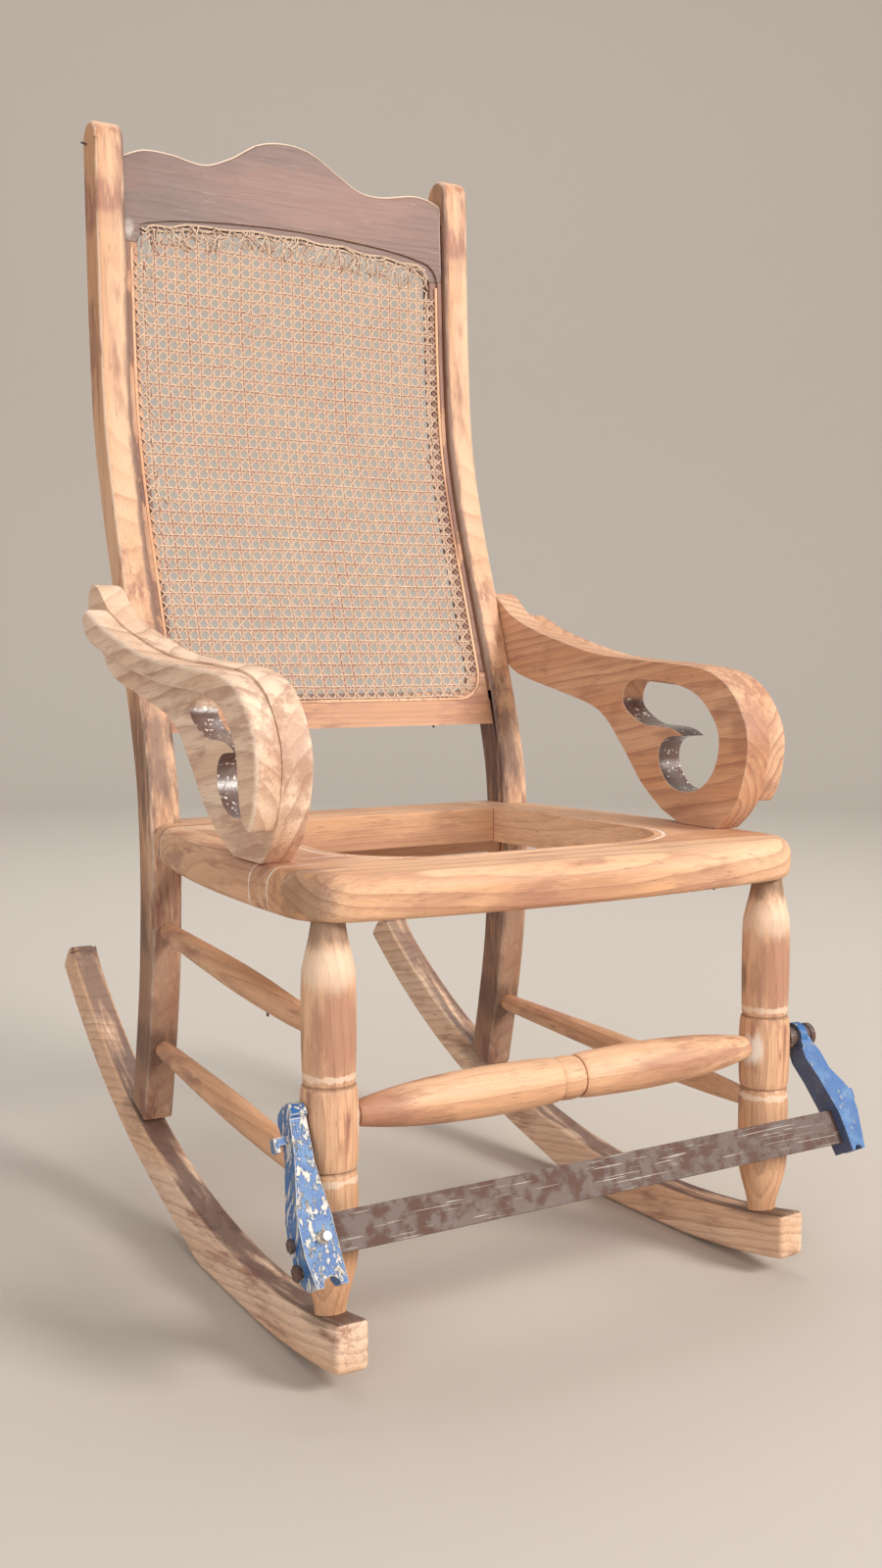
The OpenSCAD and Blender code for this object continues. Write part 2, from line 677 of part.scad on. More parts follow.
// the cheek: a band along the top and down the front of the board
CHEEK_TOP = [[45, 26], [35, 42], [29, 64], [28, 88], [37, 110], [56, 132], [87, 147],
    [136, 153], [206, 157], [259, 162], [311, 172], [375, 188], [408, 200], [428, 207]];
CHEEK_UNDER = [[438, 199], [430, 184], [412, 172], [368, 162], [300, 148], [231, 138],
    [175, 134], [129, 130], [98, 120], [77, 102], [68, 84], [66, 64], [62, 45], [57, 32]];
module cheek_outline() {
    polygon(on_arm(concat(open_curve(CHEEK_TOP, 4), open_curve(CHEEK_UNDER, 4))));
}
module arm_cheek() {
    board(arm_in + arm_t + 0.1, arm_in + arm_t + cheek_t) cheek_outline();
}
module left_arm() {
    color(pine) placed() difference() { side(-1) arm_board(); nail_holes(); }
}
module right_arm() {
    color(pine) placed() arm_board();
}
module left_arm_cheek() {
    // a chip is split off its lower end
    color(pine) placed() difference() {
        side(-1) arm_cheek();
        translate([-far, 40 * ay, seat_top + 20])
            rotate([0, 18, 0]) cube([far - arm_in - arm_t - 8, 30, 14]);
    }
}
module right_arm_cheek() {
    color(pine) placed() arm_cheek();
}
module arm_post_dowels() {
    color(pine_dark) placed() for (s = [-1, 1]) side(s)
        translate([post_out - dowel_l / 2, arm_fix[0], arm_fix[1]]) rotate([0, 90, 0])
            cylinder(r = dowel_r, h = dowel_l - 2);
}
module arm_foot_dowels() {
    color(pine_dark) placed() for (s = [-1, 1]) side(s)
        translate([arm_mid_x, foot_y, seat_top - dowel_l / 2 + 1])
            cylinder(r = dowel_r, h = dowel_l - 2);
}

// ---- nail stubs -----------------------------------------------------------------
// each has its foot in the wood and its way out: [foot, direction, length]
nail_r = 1.1;
nail_in = 8;
nail_spot = upper_front + 0.31 * (upper_rear - upper_front);
NAILS = [
    [[-post_out, post_y(post_top - 22) + 24, post_top - 22], [-1, 0, 0.2], 6],
    [[119, -20, seat_under], [0, -0.2, -1], 3],
    [[145, -17, seat_under], [0, 0.3, -1], 4],
    [[170, -14, seat_under], [0.2, 0, -1], 3],
    [[116, post_y(bottom_z) + back_set + 8, bottom_z], [0, -0.3, -1], 3],
    [[-nail_spot[0], nail_spot[1], nail_spot[2] - side_r + 1], [0, 0, -1], 6],
    [[-arm_mid_x, 243 * ay, seat_top + 98.5], [0, 0.4, -1], 12]];
module nails(r, grow) {
    for (n = NAILS) {
        u = n[1] / norm(n[1]);
        between(n[0] - nail_in * u, n[0] + n[2] * u)
            cylinder(r = r, h = nail_in + n[2] + grow, $fn = 16);
    }
}
module nail_holes() {
    for (n = NAILS) {
        u = n[1] / norm(n[1]);
        between(n[0] - (nail_in + 1) * u, n[0] + (n[2] + 4) * u)
            cylinder(r = nail_r + 0.1, h = nail_in + n[2] + 5, $fn = 16);
    }
}
module nail_stubs() {
    color(steel) placed() nails(nail_r, 0);
}

// ---- clamp ----------------------------------------------------------------------
// Built in a frame of its own: x across the chair, z along the jaws, y through them
bar_front = jaw_reach * sin(clamp_lean);
bar_z = stretcher_z + 2.4 - jaw_reach * cos(clamp_lean);
module in_clamp() {
    translate([0, -bar_front, bar_z]) rotate([-clamp_lean, 0, 0]) children();
}
leg_face = leg_x + leg_r;         // outermost line of the front legs
jaw_wall = 3.5;
jaw_front = -12;
jaw_rear = 11;
jaw_foot = 37;
left_in = leg_face + 0.2;         // the left jaw's face on the leg
left_bar_end = leg_face + 17;
right_bar_end = leg_face + 44;
rivet_x = leg_face + 9;
rivet_z = -2;
rivet_r = 3.4;
pin_r = 4;
pin_z = -22;
screw_r = 2.5;
pad_t = 4.5;
pad_x = leg_face + 0.3;
slot = 0.4;

module clamp_bar() {
    color(steel) placed() in_clamp() difference() {
        translate([-left_bar_end, -bar_t / 2, -bar_h / 2])
            cube([left_bar_end + right_bar_end, bar_t, bar_h]);
        translate([-rivet_x, 0, rivet_z]) rotate([90, 0, 0])
            cylinder(r = rivet_r + 0.1, h = 40, center = true);
    }
}
module bar_slot(x0, x1) {
    translate([x0, -bar_t / 2 - slot, -bar_h / 2 - slot])
        cube([x1 - x0, bar_t + 2 * slot, bar_h + 2 * slot]);
}
// side view of a jaw in (y, z): deep at the foot, rounded at the top
module jaw_side(top_r) {
    board(-far, far) polygon(concat(
        [[jaw_front, -jaw_foot], [jaw_front, 10], [jaw_front + 2, jaw_reach]],
        arc([0, jaw_reach], top_r, 170, 10, 8),
        [[jaw_rear - 2, jaw_reach - 10], [jaw_rear, 20], [jaw_rear + 3, -8],
         [jaw_rear, -jaw_foot + 5], [jaw_rear - 6, -jaw_foot]]));
}
module jaw_tooth(x0, x1) {
    // open half-round between the two prongs of the foot
    translate([(x0 + x1) / 2, jaw_front - 1, -jaw_foot]) rotate([-90, 0, 0])
        cylinder(r = (x1 - x0) / 2 - 6, h = 6);
}
LEFT_JAW = [[0, jaw_reach + 15], [-9, jaw_reach + 17], [-14, jaw_reach + 8], [-17, 60],
    [-21, 40], [-26, 15], [-26, -12], [-22, -jaw_foot], [4, -jaw_foot], [2, 12], [-2, 52]];
LEFT_HOLLOW = [[-18.5, -jaw_foot - 1], [0.5, -jaw_foot - 1], [-1.5, 12], [-5, 50],
    [-13.5, 56], [-17.5, 38], [-22.5, 14], [-22.5, -12]];
module clamp_left_jaw() {
    color(blue) placed() in_clamp() difference() {
        union() {
            intersection() {
                through(-40, 40) translate([-left_in, 0]) polygon(LEFT_JAW);
                jaw_side(14);
            }
            // hook-shaped lug on the outer side
            translate([-left_in - 28, -4, 70]) cube([14, 9, 6]);
            translate([-left_in - 28, -4, 65]) cube([4, 9, 6]);
        }
        // hollow of the channel, open behind and below
        through(jaw_front + jaw_wall, 40) translate([-left_in, 0]) polygon(LEFT_HOLLOW);
        jaw_tooth(-left_in - 22, -left_in + 4);
        bar_slot(-left_bar_end - 1, -left_in + 20);
        translate([-rivet_x, 0, rivet_z]) rotate([90, 0, 0])
            cylinder(r = rivet_r + 0.1, h = 60, center = true);
        translate([-left_in - 12, 5, pin_z]) rotate([0, -90, 0])
            cylinder(r = pin_r + 0.1, h = 30);
        translate([-left_in - 20, 5, rivet_z]) rotate([0, -90, 0])
            cylinder(r = screw_r + 0.1, h = 30);
    }
}
module clamp_rivet() {
    color(brass) placed() in_clamp() translate([-rivet_x, 0, rivet_z]) rotate([90, 0, 0]) {
        cylinder(r = rivet_r, h = 8 - jaw_front);
        translate([0, 0, -jaw_front + 0.1]) intersection() {
            cylinder(r = 5, h = 3);
            translate([0, 0, -4.5]) sphere(r = 7);
        }
    }
}
module clamp_cross_pin() {
    color(steel) placed() in_clamp() translate([-left_in - 14, 5, pin_z]) rotate([0, -90, 0]) {
        cylinder(r = pin_r, h = 12);
        translate([0, 0, 12.6]) cylinder(r = 6.5, h = 3, $fn = 6);
        translate([0, 0, 11]) cylinder(r = 3, h = 3);
    }
    color(steel) placed() in_clamp() translate([-left_in - 22.6, 5, rivet_z]) rotate([0, -90, 0]) {
        cylinder(r = screw_r, h = 5);
        translate([0, 0, 3.6]) cylinder(r = 5.5, h = 3.5, $fn = 6);
    }
}

boss_r = 12.5;
boss_x = leg_face + pad_t + pad_travel + 0.7;
boss_t = 8;
right_foot = 24;
boss_in = boss_x - leg_face;
RIGHT_JAW = [[boss_in, jaw_reach + 4], [19, jaw_reach + 4], [25, jaw_reach - 12], [29, 68],
    [33, 52], [43, 38], [49, 28], [49, 10], [46, -6], [43, -right_foot], [28, -right_foot],
    [27, 0], [26, 12], [17, 44], [9.5, 64], [9.5, 74],
    [boss_in, 74.5]];
RIGHT_HOLLOW = [[31.5, -right_foot - 1], [39.5, -right_foot - 1], [42.5, -5], [45.5, 10],
    [45.5, 26], [40, 35], [30, 48], [21, 48], [29.5, 12], [30.5, 0]];
module clamp_right_jaw() {
    color(blue) placed() in_clamp() difference() {
        union() {
            intersection() {
                through(-40, 40) translate([leg_face, 0]) polygon(RIGHT_JAW);
                jaw_side(12);
            }
            translate([boss_x, 0, jaw_reach]) rotate([0, 90, 0])
                cylinder(r = boss_r, h = boss_t);
            translate([leg_face + 44, -4, 25]) cube([14, 9, 6]);
            translate([leg_face + 54, -4, 21]) cube([4, 9, 6]);
        }
        through(jaw_front + jaw_wall, 60) translate([leg_face, 0]) polygon(RIGHT_HOLLOW);
        translate([leg_face + 35.5, jaw_front - 1, -right_foot]) rotate([-90, 0, 0])
            cylinder(r = 4, h = 6);
        bar_slot(leg_face, right_bar_end + 1);
        translate([boss_x - 1, 0, jaw_reach]) rotate([0, 90, 0])
            cylinder(r = spindle_r + running, h = boss_t + 30);
    }
}
spindle_l = 22;
module clamp_spindle() {
    color(steel) placed() in_clamp() translate([pad_x + pad_t + 0.2, 0, jaw_reach]) rotate([0, 90, 0]) {
        cylinder(r = spindle_r, h = spindle_l);
        translate([0, 0, spindle_l - 1]) cylinder(r = spindle_r + 1.5, h = 5);
        translate([0, 0, -3]) cylinder(r = 3.4, h = 4);
    }
}
module clamp_pad() {
    color(steel) placed() in_clamp() translate([pad_x, 0, jaw_reach]) rotate([0, 90, 0])
        difference() {
            cylinder(r = 11, h = pad_t);
            translate([0, 0, 1.3]) cylinder(r = 3.5, h = pad_t);
        }
}

left_rocker();
right_rocker();
left_back_post();
right_back_post();
left_front_leg();
right_front_leg();
front_stretcher();
left_upper_side_stretcher();
left_lower_side_stretcher();
right_lower_side_stretcher();
seat_front_rail();
seat_left_rail();
seat_right_rail();
seat_back_rail();
seat_front_corner_block();
seat_rear_corner_block();
seat_under_rail();
crest_rail();
back_left_stile();
back_right_stile();
back_bottom_rail();
cane_panel();
cane_reed();
cane_torn_strip();
left_arm();
left_arm_cheek();
right_arm();
right_arm_cheek();
arm_post_dowels();
arm_foot_dowels();
nail_stubs();
clamp_bar();
clamp_left_jaw();
clamp_rivet();
clamp_cross_pin();
clamp_right_jaw();
clamp_spindle();
clamp_pad();
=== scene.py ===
"""Looks of a broken cane-back rocking chair held in a bar clamp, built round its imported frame."""

import json
import math
import random

import bpy
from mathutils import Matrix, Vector, noise

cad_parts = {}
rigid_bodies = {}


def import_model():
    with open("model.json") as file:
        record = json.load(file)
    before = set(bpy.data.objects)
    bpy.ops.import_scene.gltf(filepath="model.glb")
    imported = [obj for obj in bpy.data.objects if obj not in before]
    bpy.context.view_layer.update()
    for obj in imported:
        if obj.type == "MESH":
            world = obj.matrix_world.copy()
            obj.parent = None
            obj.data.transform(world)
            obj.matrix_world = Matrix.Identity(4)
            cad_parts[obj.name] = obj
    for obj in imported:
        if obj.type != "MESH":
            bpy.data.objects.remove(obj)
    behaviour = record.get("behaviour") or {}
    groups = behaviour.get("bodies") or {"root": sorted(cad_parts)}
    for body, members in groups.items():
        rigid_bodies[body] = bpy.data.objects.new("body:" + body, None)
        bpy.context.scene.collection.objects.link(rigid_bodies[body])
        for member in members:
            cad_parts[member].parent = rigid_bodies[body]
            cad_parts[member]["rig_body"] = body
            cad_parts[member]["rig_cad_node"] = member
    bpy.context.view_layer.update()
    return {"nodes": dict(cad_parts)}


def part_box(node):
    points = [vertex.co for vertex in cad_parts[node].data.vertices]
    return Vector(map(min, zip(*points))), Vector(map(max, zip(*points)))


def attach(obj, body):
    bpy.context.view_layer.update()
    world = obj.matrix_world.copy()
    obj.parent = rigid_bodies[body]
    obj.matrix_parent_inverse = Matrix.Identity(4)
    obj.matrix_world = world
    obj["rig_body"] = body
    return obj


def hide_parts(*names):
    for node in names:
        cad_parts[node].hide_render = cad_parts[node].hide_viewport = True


bl_info = {
    "name": "Broken Rocking Chair",
    "version": (1, 0, 0),
    "blender": (4, 5, 0),
    "location": "View3D > Sidebar > Rocking Chair",
    "description": "Finishes the wood, woven cane and clamp of a rocking chair under repair",
    "category": "Object",
}

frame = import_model()
NODES = frame["nodes"]

# Where the chair's parts lie, read from the frame
LEG = (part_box("right_front_leg")[0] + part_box("right_front_leg")[1]) / 2
LEG_X = LEG.x
LEG_Y = LEG.y
SEAT_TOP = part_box("seat_back_rail")[1].z
SEAT_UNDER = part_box("seat_back_rail")[0].z
POST_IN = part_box("right_back_post")[0].x
POST_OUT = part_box("right_back_post")[1].x
CREST_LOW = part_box("crest_rail")[0].z
CANE_LOW, CANE_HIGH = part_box("cane_panel")
ARM_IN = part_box("right_arm")[0].x
ARM_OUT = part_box("right_arm")[1].x


# ---------------------------------------------------------------- sizes and colours
class RockerSizes(bpy.types.PropertyGroup):
    """Sizes that the looks are made with."""

    arris: bpy.props.FloatProperty(
        name="Arris", description="Radius worn on to the sawn edges", default=0.003, unit="LENGTH")
    cane_pitch: bpy.props.FloatProperty(
        name="Cane pitch", description="From one hole of the weave to the next", default=0.012,
        unit="LENGTH")
    strand_width: bpy.props.FloatProperty(
        name="Strand width", description="Width of one strand of cane", default=0.0019,
        unit="LENGTH")
    strand_lift: bpy.props.FloatProperty(
        name="Strand lift", description="How far strands rise over each other", default=0.0004,
        unit="LENGTH")
    fray: bpy.props.FloatProperty(
        name="Fray", description="Longest stub of a torn strand", default=0.012, unit="LENGTH")


def swatch(name, description, colour):
    return bpy.props.FloatVectorProperty(
        name=name, description=description, subtype="COLOR", size=3, min=0, max=1, default=colour)


class RockerColours(bpy.types.PropertyGroup):
    """Colours of the chair's finishes."""

    pale: swatch("Pale wood", "Bare wood between its rings", (0.81, 0.51, 0.32))
    cream: swatch("Arris", "Freshly sanded edges", (0.90, 0.71, 0.55))
    amber: swatch("Amber", "Warm drifts in the bare wood", (0.68, 0.35, 0.18))
    ring: swatch("Ring", "Dark line of each ring", (0.33, 0.14, 0.08))
    flush: swatch("Flush", "Red-brown left in the grain", (0.36, 0.16, 0.105))
    # Dark stain in pores and rings, also laid as painted shade where parts meet and under the seat
    stain_and_shade: swatch("Stain", "Dark stain round the joints", (0.10, 0.055, 0.035))
    varnish: swatch("Varnish", "Remains of the old varnish", (0.105, 0.052, 0.045))
    bloom: swatch("Bloom", "Greyed, dusty varnish", (0.155, 0.105, 0.100))
    filler: swatch("Filler", "White filler and dried glue", (0.90, 0.84, 0.76))
    straw: swatch("Cane", "Outer edges of the strands", (0.76, 0.59, 0.44))
    # Reddish tone between the strands of a pair, partly painted shade in the crevice between them
    blush_and_shade: swatch("Cane flush", "Between the strands of a pair", (0.42, 0.19, 0.15))
    iron: swatch("Iron", "Bare iron of the bar", (0.13, 0.095, 0.085))
    rust: swatch("Rust", "Rust on iron", (0.12, 0.06, 0.045))
    blue: swatch("Blue enamel", "Paint on the castings", (0.03, 0.125, 0.36))
    brass: swatch("Brass", "Rivet", (0.60, 0.53, 0.44))
    tarnish: swatch("Tarnish", "Dull patches on brass", (0.36, 0.30, 0.24))
    scratch: swatch("Scratch", "Bright hairlines on iron", (0.6, 0.55, 0.5))
    chip: swatch("Chip", "Metal where enamel came off", (0.70, 0.67, 0.63))
    dull_chip: swatch("Dull chip", "Metal that lost its shine", (0.26, 0.22, 0.19))
    pale_blue: swatch("Pale enamel", "Enamel rubbed thin", (0.10, 0.23, 0.44))
    worn_edge: swatch("Worn edge", "Metal on the castings' edges", (0.66, 0.62, 0.57))
    # Painted shade on the castings' inner flanks
    flank_shade: swatch("Grime", "Dirt on the castings' inner flanks", (0.075, 0.07, 0.075))
    # Painted shade on the strands' sides and backs
    cane_back: swatch("Cane behind", "Sides and backs of the strands", (0.13, 0.075, 0.05))
    floor: swatch("Floor", "Studio floor and wall", (0.545, 0.50, 0.455))


def sizes():
    return bpy.context.scene.rocker_sizes


def paint(name):
    """A colour of the chair's, opaque"""
    return tuple(getattr(bpy.context.scene.rocker_colours, name)) + (1.0,)


# ---------------------------------------------------------------- node trees
def feed(tree, socket, value):
    """Links value into a socket, or sets the socket to it"""
    if isinstance(value, bpy.types.NodeSocket):
        tree.links.new(value, socket)
    else:
        socket.default_value = value


def add(tree, kind, settings=None, **sockets):
    """A node with its settings and sockets; i0, i1 ... name a socket by its place"""
    node = tree.nodes.new(kind)
    for key, value in (settings or {}).items():
        setattr(node, key, value)
    for key, value in sockets.items():
        by_place = key[0] == "i" and key[1:].isdigit()
        feed(tree, node.inputs[int(key[1:]) if by_place else key.replace("_", " ")], value)
    return node


def sums(tree, operation, a, b=0.5, c=0.5):
    return add(tree, "ShaderNodeMath", {"operation": operation}, i0=a, i1=b, i2=c).outputs[0]


def times(tree, a, b):
    return sums(tree, "MULTIPLY", a, b)


def mul_add(tree, a, factor, b):
    """a times factor, plus b"""
    return sums(tree, "MULTIPLY_ADD", a, factor, b)


def vectors(tree, operation, a, b=(0.0, 0.0, 0.0)):
    node = add(tree, "ShaderNodeVectorMath", {"operation": operation}, i0=a, i1=b)
    return node.outputs["Value" if operation == "LENGTH" else "Vector"]


def stretch(tree, vector, *factors):
    """vector times one factor along each axis; a small factor draws a texture out"""
    return vectors(tree, "MULTIPLY", vector, factors)


def axis_of(tree, vector, axis):
    return add(tree, "ShaderNodeSeparateXYZ", Vector=vector).outputs[axis]


def facing(tree, axis):
    """How far the surface faces along an axis of the object"""
    return axis_of(tree, add(tree, "ShaderNodeTexCoord").outputs["Normal"], axis)


def cloud(tree, vector, scale, detail=3.0, roughness=0.5):
    """Noise, about 0.5 on the whole"""
    node = add(tree, "ShaderNodeTexNoise", Vector=vector, Scale=scale, Detail=detail,
               Roughness=roughness)
    return node.outputs["Fac"]


def ramp(tree, value, low, high, to_low=0.0, to_high=1.0):
    """value, taken smoothly from low..high to to_low..to_high"""
    node = add(tree, "ShaderNodeMapRange", {"interpolation_type": "SMOOTHSTEP"}, i0=value, i1=low,
               i2=high, i3=to_low, i4=to_high)
    return node.outputs[0]


def blend(tree, mask, a, b, kind="MIX"):
    """Colour a where the mask is 0, and b where it is 1"""
    settings = {"data_type": "RGBA", "blend_type": kind}
    return add(tree, "ShaderNodeMix", settings, i0=mask, i6=a, i7=b).outputs[2]


def lay(tree, colour, tone, mask, strength=None):
    """colour, with the named paint over it where the mask is"""
    if strength is not None:
        mask = times(tree, mask, strength)
    return blend(tree, mask, colour, paint(tone))


def new_group(name, inputs, outputs):
    """An empty group of masks and its two ends, from {input: kind} and the outputs' names"""
    group = bpy.data.node_groups.new(name, "ShaderNodeTree")
    for label, kind in inputs.items():
        group.interface.new_socket(label, in_out="INPUT", socket_type="NodeSocket" + kind)
    for label in outputs:
        group.interface.new_socket(label, in_out="OUTPUT", socket_type="NodeSocketFloat")
    ends = group.nodes.new("NodeGroupInput").outputs, group.nodes.new("NodeGroupOutput").inputs
    return (group, *ends)


def use(tree, group, **sockets):
    """The outputs of a shader group, placed with its own values"""
    settings = {"node_tree": bpy.data.node_groups[group]}
    return add(tree, "ShaderNodeGroup", settings, **sockets).outputs


def make_growth_rings():
    """Rings round a pith that runs along the vector's Z."""
    tree, ins, outs = new_group(
        "Growth Rings",
        {"Vector": "Vector", "Spacing": "Float", "Wander": "Float"}, ("Late", "Year"))
    slow = stretch(tree, ins["Vector"], 1.0, 1.0, 0.22)
    drift = sums(tree, "SUBTRACT", cloud(tree, slow, 16.0, 2.0), 0.5)
    tremor = sums(tree, "SUBTRACT", cloud(tree, slow, 90.0, 1.0), 0.5)
    away = mul_add(tree, tremor, 0.06, drift)
    flat = stretch(tree, ins["Vector"], 1.0, 1.0, 0.0)
    radius = mul_add(tree, away, ins["Wander"], vectors(tree, "LENGTH", flat))
    turns = sums(tree, "DIVIDE", radius, ins["Spacing"])
    part = sums(tree, "FRACT", turns)
    rise = sums(tree, "POWER", part, 2.6)
    fall = ramp(tree, part, 0.9, 1.0, 1.0, 0.0)
    tree.links.new(times(tree, rise, fall), outs["Late"])
    year = add(tree, "ShaderNodeTexWhiteNoise", {"noise_dimensions": "1D"},
               W=sums(tree, "FLOOR", turns))
    tree.links.new(year.outputs["Value"], outs["Year"])


def make_wood_fibres():
    """What runs along the vector's Z: streaks, pores, drifts of tone and patches of old colour."""
    tree, ins, outs = new_group(
        "Wood Fibres", {"Vector": "Vector"}, ("Streak", "Pore", "Drift", "Patch", "Scratch"))
    fine = stretch(tree, ins["Vector"], 1.0, 1.0, 0.03)
    coarse = stretch(tree, ins["Vector"], 1.0, 1.0, 0.14)
    tree.links.new(cloud(tree, fine, 800.0, 2.0, 0.6), outs["Streak"])
    tree.links.new(ramp(tree, cloud(tree, coarse, 420.0, 1.0), 0.68, 0.74), outs["Pore"])
    tree.links.new(ramp(tree, cloud(tree, coarse, 16.0, 3.0, 0.5), 0.36, 0.64), outs["Drift"])
    ragged = ramp(tree, cloud(tree, coarse, 55.0, 6.0, 0.68), 0.47, 0.60)
    where = ramp(tree, cloud(tree, ins["Vector"], 13.0, 2.0, 0.5), 0.44, 0.60)
    tree.links.new(times(tree, ragged, where), outs["Patch"])
    skewed = add(tree, "ShaderNodeMapping", Vector=ins["Vector"], Rotation=(0.12, 0.06, 0.0),
                 Scale=(1.0, 1.0, 0.04)).outputs[0]
    tree.links.new(ramp(tree, cloud(tree, skewed, 520.0, 2.0, 0.6), 0.70, 0.76), outs["Scratch"])


def make_stain_spot():
    """A ragged patch round a point."""
    tree, ins, outs = new_group(
        "Stain Spot",
        {"Vector": "Vector", "Fibre": "Vector", "Centre": "Vector", "Reach": "Vector",
         "Ragged": "Float"}, ("Mask",))
    away = vectors(tree, "DIVIDE", vectors(tree, "SUBTRACT", ins["Vector"], ins["Centre"]),
                   ins["Reach"])
    drawn = stretch(tree, ins["Fibre"], 1.0, 1.0, 0.16)
    edge = sums(tree, "SUBTRACT", cloud(tree, drawn, 110.0, 5.0, 0.65), 0.5)
    far = mul_add(tree, edge, ins["Ragged"], vectors(tree, "LENGTH", away))
    tree.links.new(ramp(tree, far, 0.45, 1.05, 1.0, 0.0), outs["Mask"])


def make_worn_coat():
    """Where a coat is left: 0 bare, 1 covered. It wears off in streaks along the vector's Z."""
    tree, ins, outs = new_group(
        "Worn Coat",
        {"Vector": "Vector", "Cover": "Float", "Scale": "Float"}, ("Mask", "Thin"))
    along = stretch(tree, ins["Vector"], 1.0, 1.0, 0.22)
    field = cloud(tree, along, ins["Scale"], 6.0, 0.68)
    level = ramp(tree, ins["Cover"], 0.0, 1.0, 0.72, 0.28)
    above = sums(tree, "SUBTRACT", field, level)
    tree.links.new(ramp(tree, above, -0.012, 0.03), outs["Mask"])
    tree.links.new(ramp(tree, above, -0.15, 0.12), outs["Thin"])


def make_scratches():
    """Bright hairlines that run any way over metal, and a coarse blotch."""
    tree, ins, outs = new_group(
        "Scratches", {"Vector": "Vector"}, ("Line", "Blotch", "Pit"))
    lines = []
    for turn, stretch in (((0.3, 0.2, 0.5), 0.02), ((1.1, 0.6, 2.0), 0.03)):
        turned = add(tree, "ShaderNodeMapping", Vector=ins["Vector"], Rotation=turn,
                     Scale=(stretch, 1.0, 1.0)).outputs[0]
        lines.append(ramp(tree, cloud(tree, turned, 700.0, 1.0), 0.68, 0.74))
    tree.links.new(sums(tree, "MAXIMUM", lines[0], lines[1]), outs["Line"])
    tree.links.new(cloud(tree, ins["Vector"], 70.0, 6.0, 0.65), outs["Blotch"])
    tree.links.new(cloud(tree, ins["Vector"], 600.0, 3.0, 0.6), outs["Pit"])


# ---------------------------------------------------------------- materials
def material(name):
    """A new material, its emptied tree and its object coordinates"""
    finish = bpy.data.materials.new(name)
    finish.use_nodes = True
    tree = finish.node_tree
    tree.nodes.clear()
    return finish, tree, add(tree, "ShaderNodeTexCoord").outputs["Object"]


def surface(tree, colour, roughness, height=None, metallic=0.0, coat=0.0, depth=0.0004):
    """The shader at the end of a material; depth is the bump's, in metres"""
    shader = add(tree, "ShaderNodeBsdfPrincipled", Base_Color=colour, Roughness=roughness,
                 Metallic=metallic, Coat_Weight=coat, Coat_Roughness=0.35)
    if height is not None:
        bump = add(tree, "ShaderNodeBump", Height=height, Strength=1.0, Distance=depth)
        feed(tree, shader.inputs["Normal"], bump.outputs[0])
    add(tree, "ShaderNodeOutputMaterial", Surface=shader.outputs[0])


# How a piece's grain is brought on to Z
GRAIN_TURN = {"Z": (0.0, 0.0, 0.0), "X": (0.0, -math.pi / 2, 0.0), "Y": (math.pi / 2, 0.0, 0.0)}


def arris(tree, flat):
    """1 on the rounded edges of a board that is flat across the given axis"""
    across = sums(tree, "ABSOLUTE", facing(tree, flat))
    square = mul_add(tree, times(tree, across, across), -1.0, 1.0)
    along = sums(tree, "SQRT", sums(tree, "MAXIMUM", square, 0.0))
    return ramp(tree, sums(tree, "MAXIMUM", across, along), 0.985, 0.8)


def varnished_top(tree, colour, where, strength):
    """colour, with varnish left in streaks on the faces that look up"""
    up = ramp(tree, facing(tree, "Z"), 0.55, 0.9)
    left = cloud(tree, stretch(tree, where, 1.0, 0.10, 0.10), 85.0, 4.0, 0.55)
    return lay(tree, colour, "varnish", times(tree, up, ramp(tree, left, 0.30, 0.54)), strength)


def old_varnish(tree, colour, aligned, fibres, late, cover):
    """colour with a worn, dusty coat over it, and the mask of what is left of the coat"""
    left = use(tree, "Worn Coat", Vector=aligned, Cover=cover, Scale=30.0)
    dust = cloud(tree, stretch(tree, aligned, 1.0, 1.0, 0.3), 45.0, 6.0, 0.72)
    dusty = times(tree, ramp(tree, dust, 0.40, 0.62),
                  ramp(tree, cloud(tree, aligned, 11.0, 2.0), 0.40, 0.60, 0.25, 1.0))
    old = blend(tree, dusty, paint("varnish"), paint("bloom"))
    old = lay(tree, old, "flush", fibres["Drift"], 0.55)
    old = lay(tree, old, "stain_and_shade", late, 0.75)
    colour = lay(tree, colour, "flush", left["Thin"], 0.75)
    colour = blend(tree, times(tree, left["Mask"], 0.85), colour, old)
    return lay(tree, colour, "cream", fibres["Scratch"], 0.6), left["Mask"]


def seam(tree, where, axis, place, half, side):
    """Mask of a wavering line across an axis, on one side of X only unless side is 0"""
    away = sums(tree, "ABSOLUTE", sums(tree, "SUBTRACT", axis_of(tree, where, axis), place))
    if side:
        away = sums(tree, "MAXIMUM", away, times(tree, axis_of(tree, where, "X"), -side))
    waver = sums(tree, "SUBTRACT", cloud(tree, where, 130.0, 4.0, 0.6), 0.5)
    return ramp(tree, mul_add(tree, waver, half * 3, away), half * 0.6, half, 1.0, 0.0)


def varnished_walls(tree, colour, where, middle, reach):
    """colour with varnish on a cut-out's walls, which face along the board, and their mask"""
    across = sums(tree, "ABSOLUTE", facing(tree, "X"))
    away = vectors(tree, "DIVIDE", vectors(tree, "SUBTRACT", where, middle), reach)
    near = ramp(tree, vectors(tree, "LENGTH", away), 0.96, 1.04, 1.0, 0.0)
    mask = times(tree, near, ramp(tree, across, 0.35, 0.75, 0.95, 0.0))
    tone = blend(tree, ramp(tree, cloud(tree, where, 45.0, 3.0), 0.4, 0.62), paint("varnish"),
                 paint("bloom"))
    tone = lay(tree, tone, "filler", ramp(tree, cloud(tree, where, 240.0, 3.0), 0.62, 0.66))
    return blend(tree, mask, colour, tone), mask


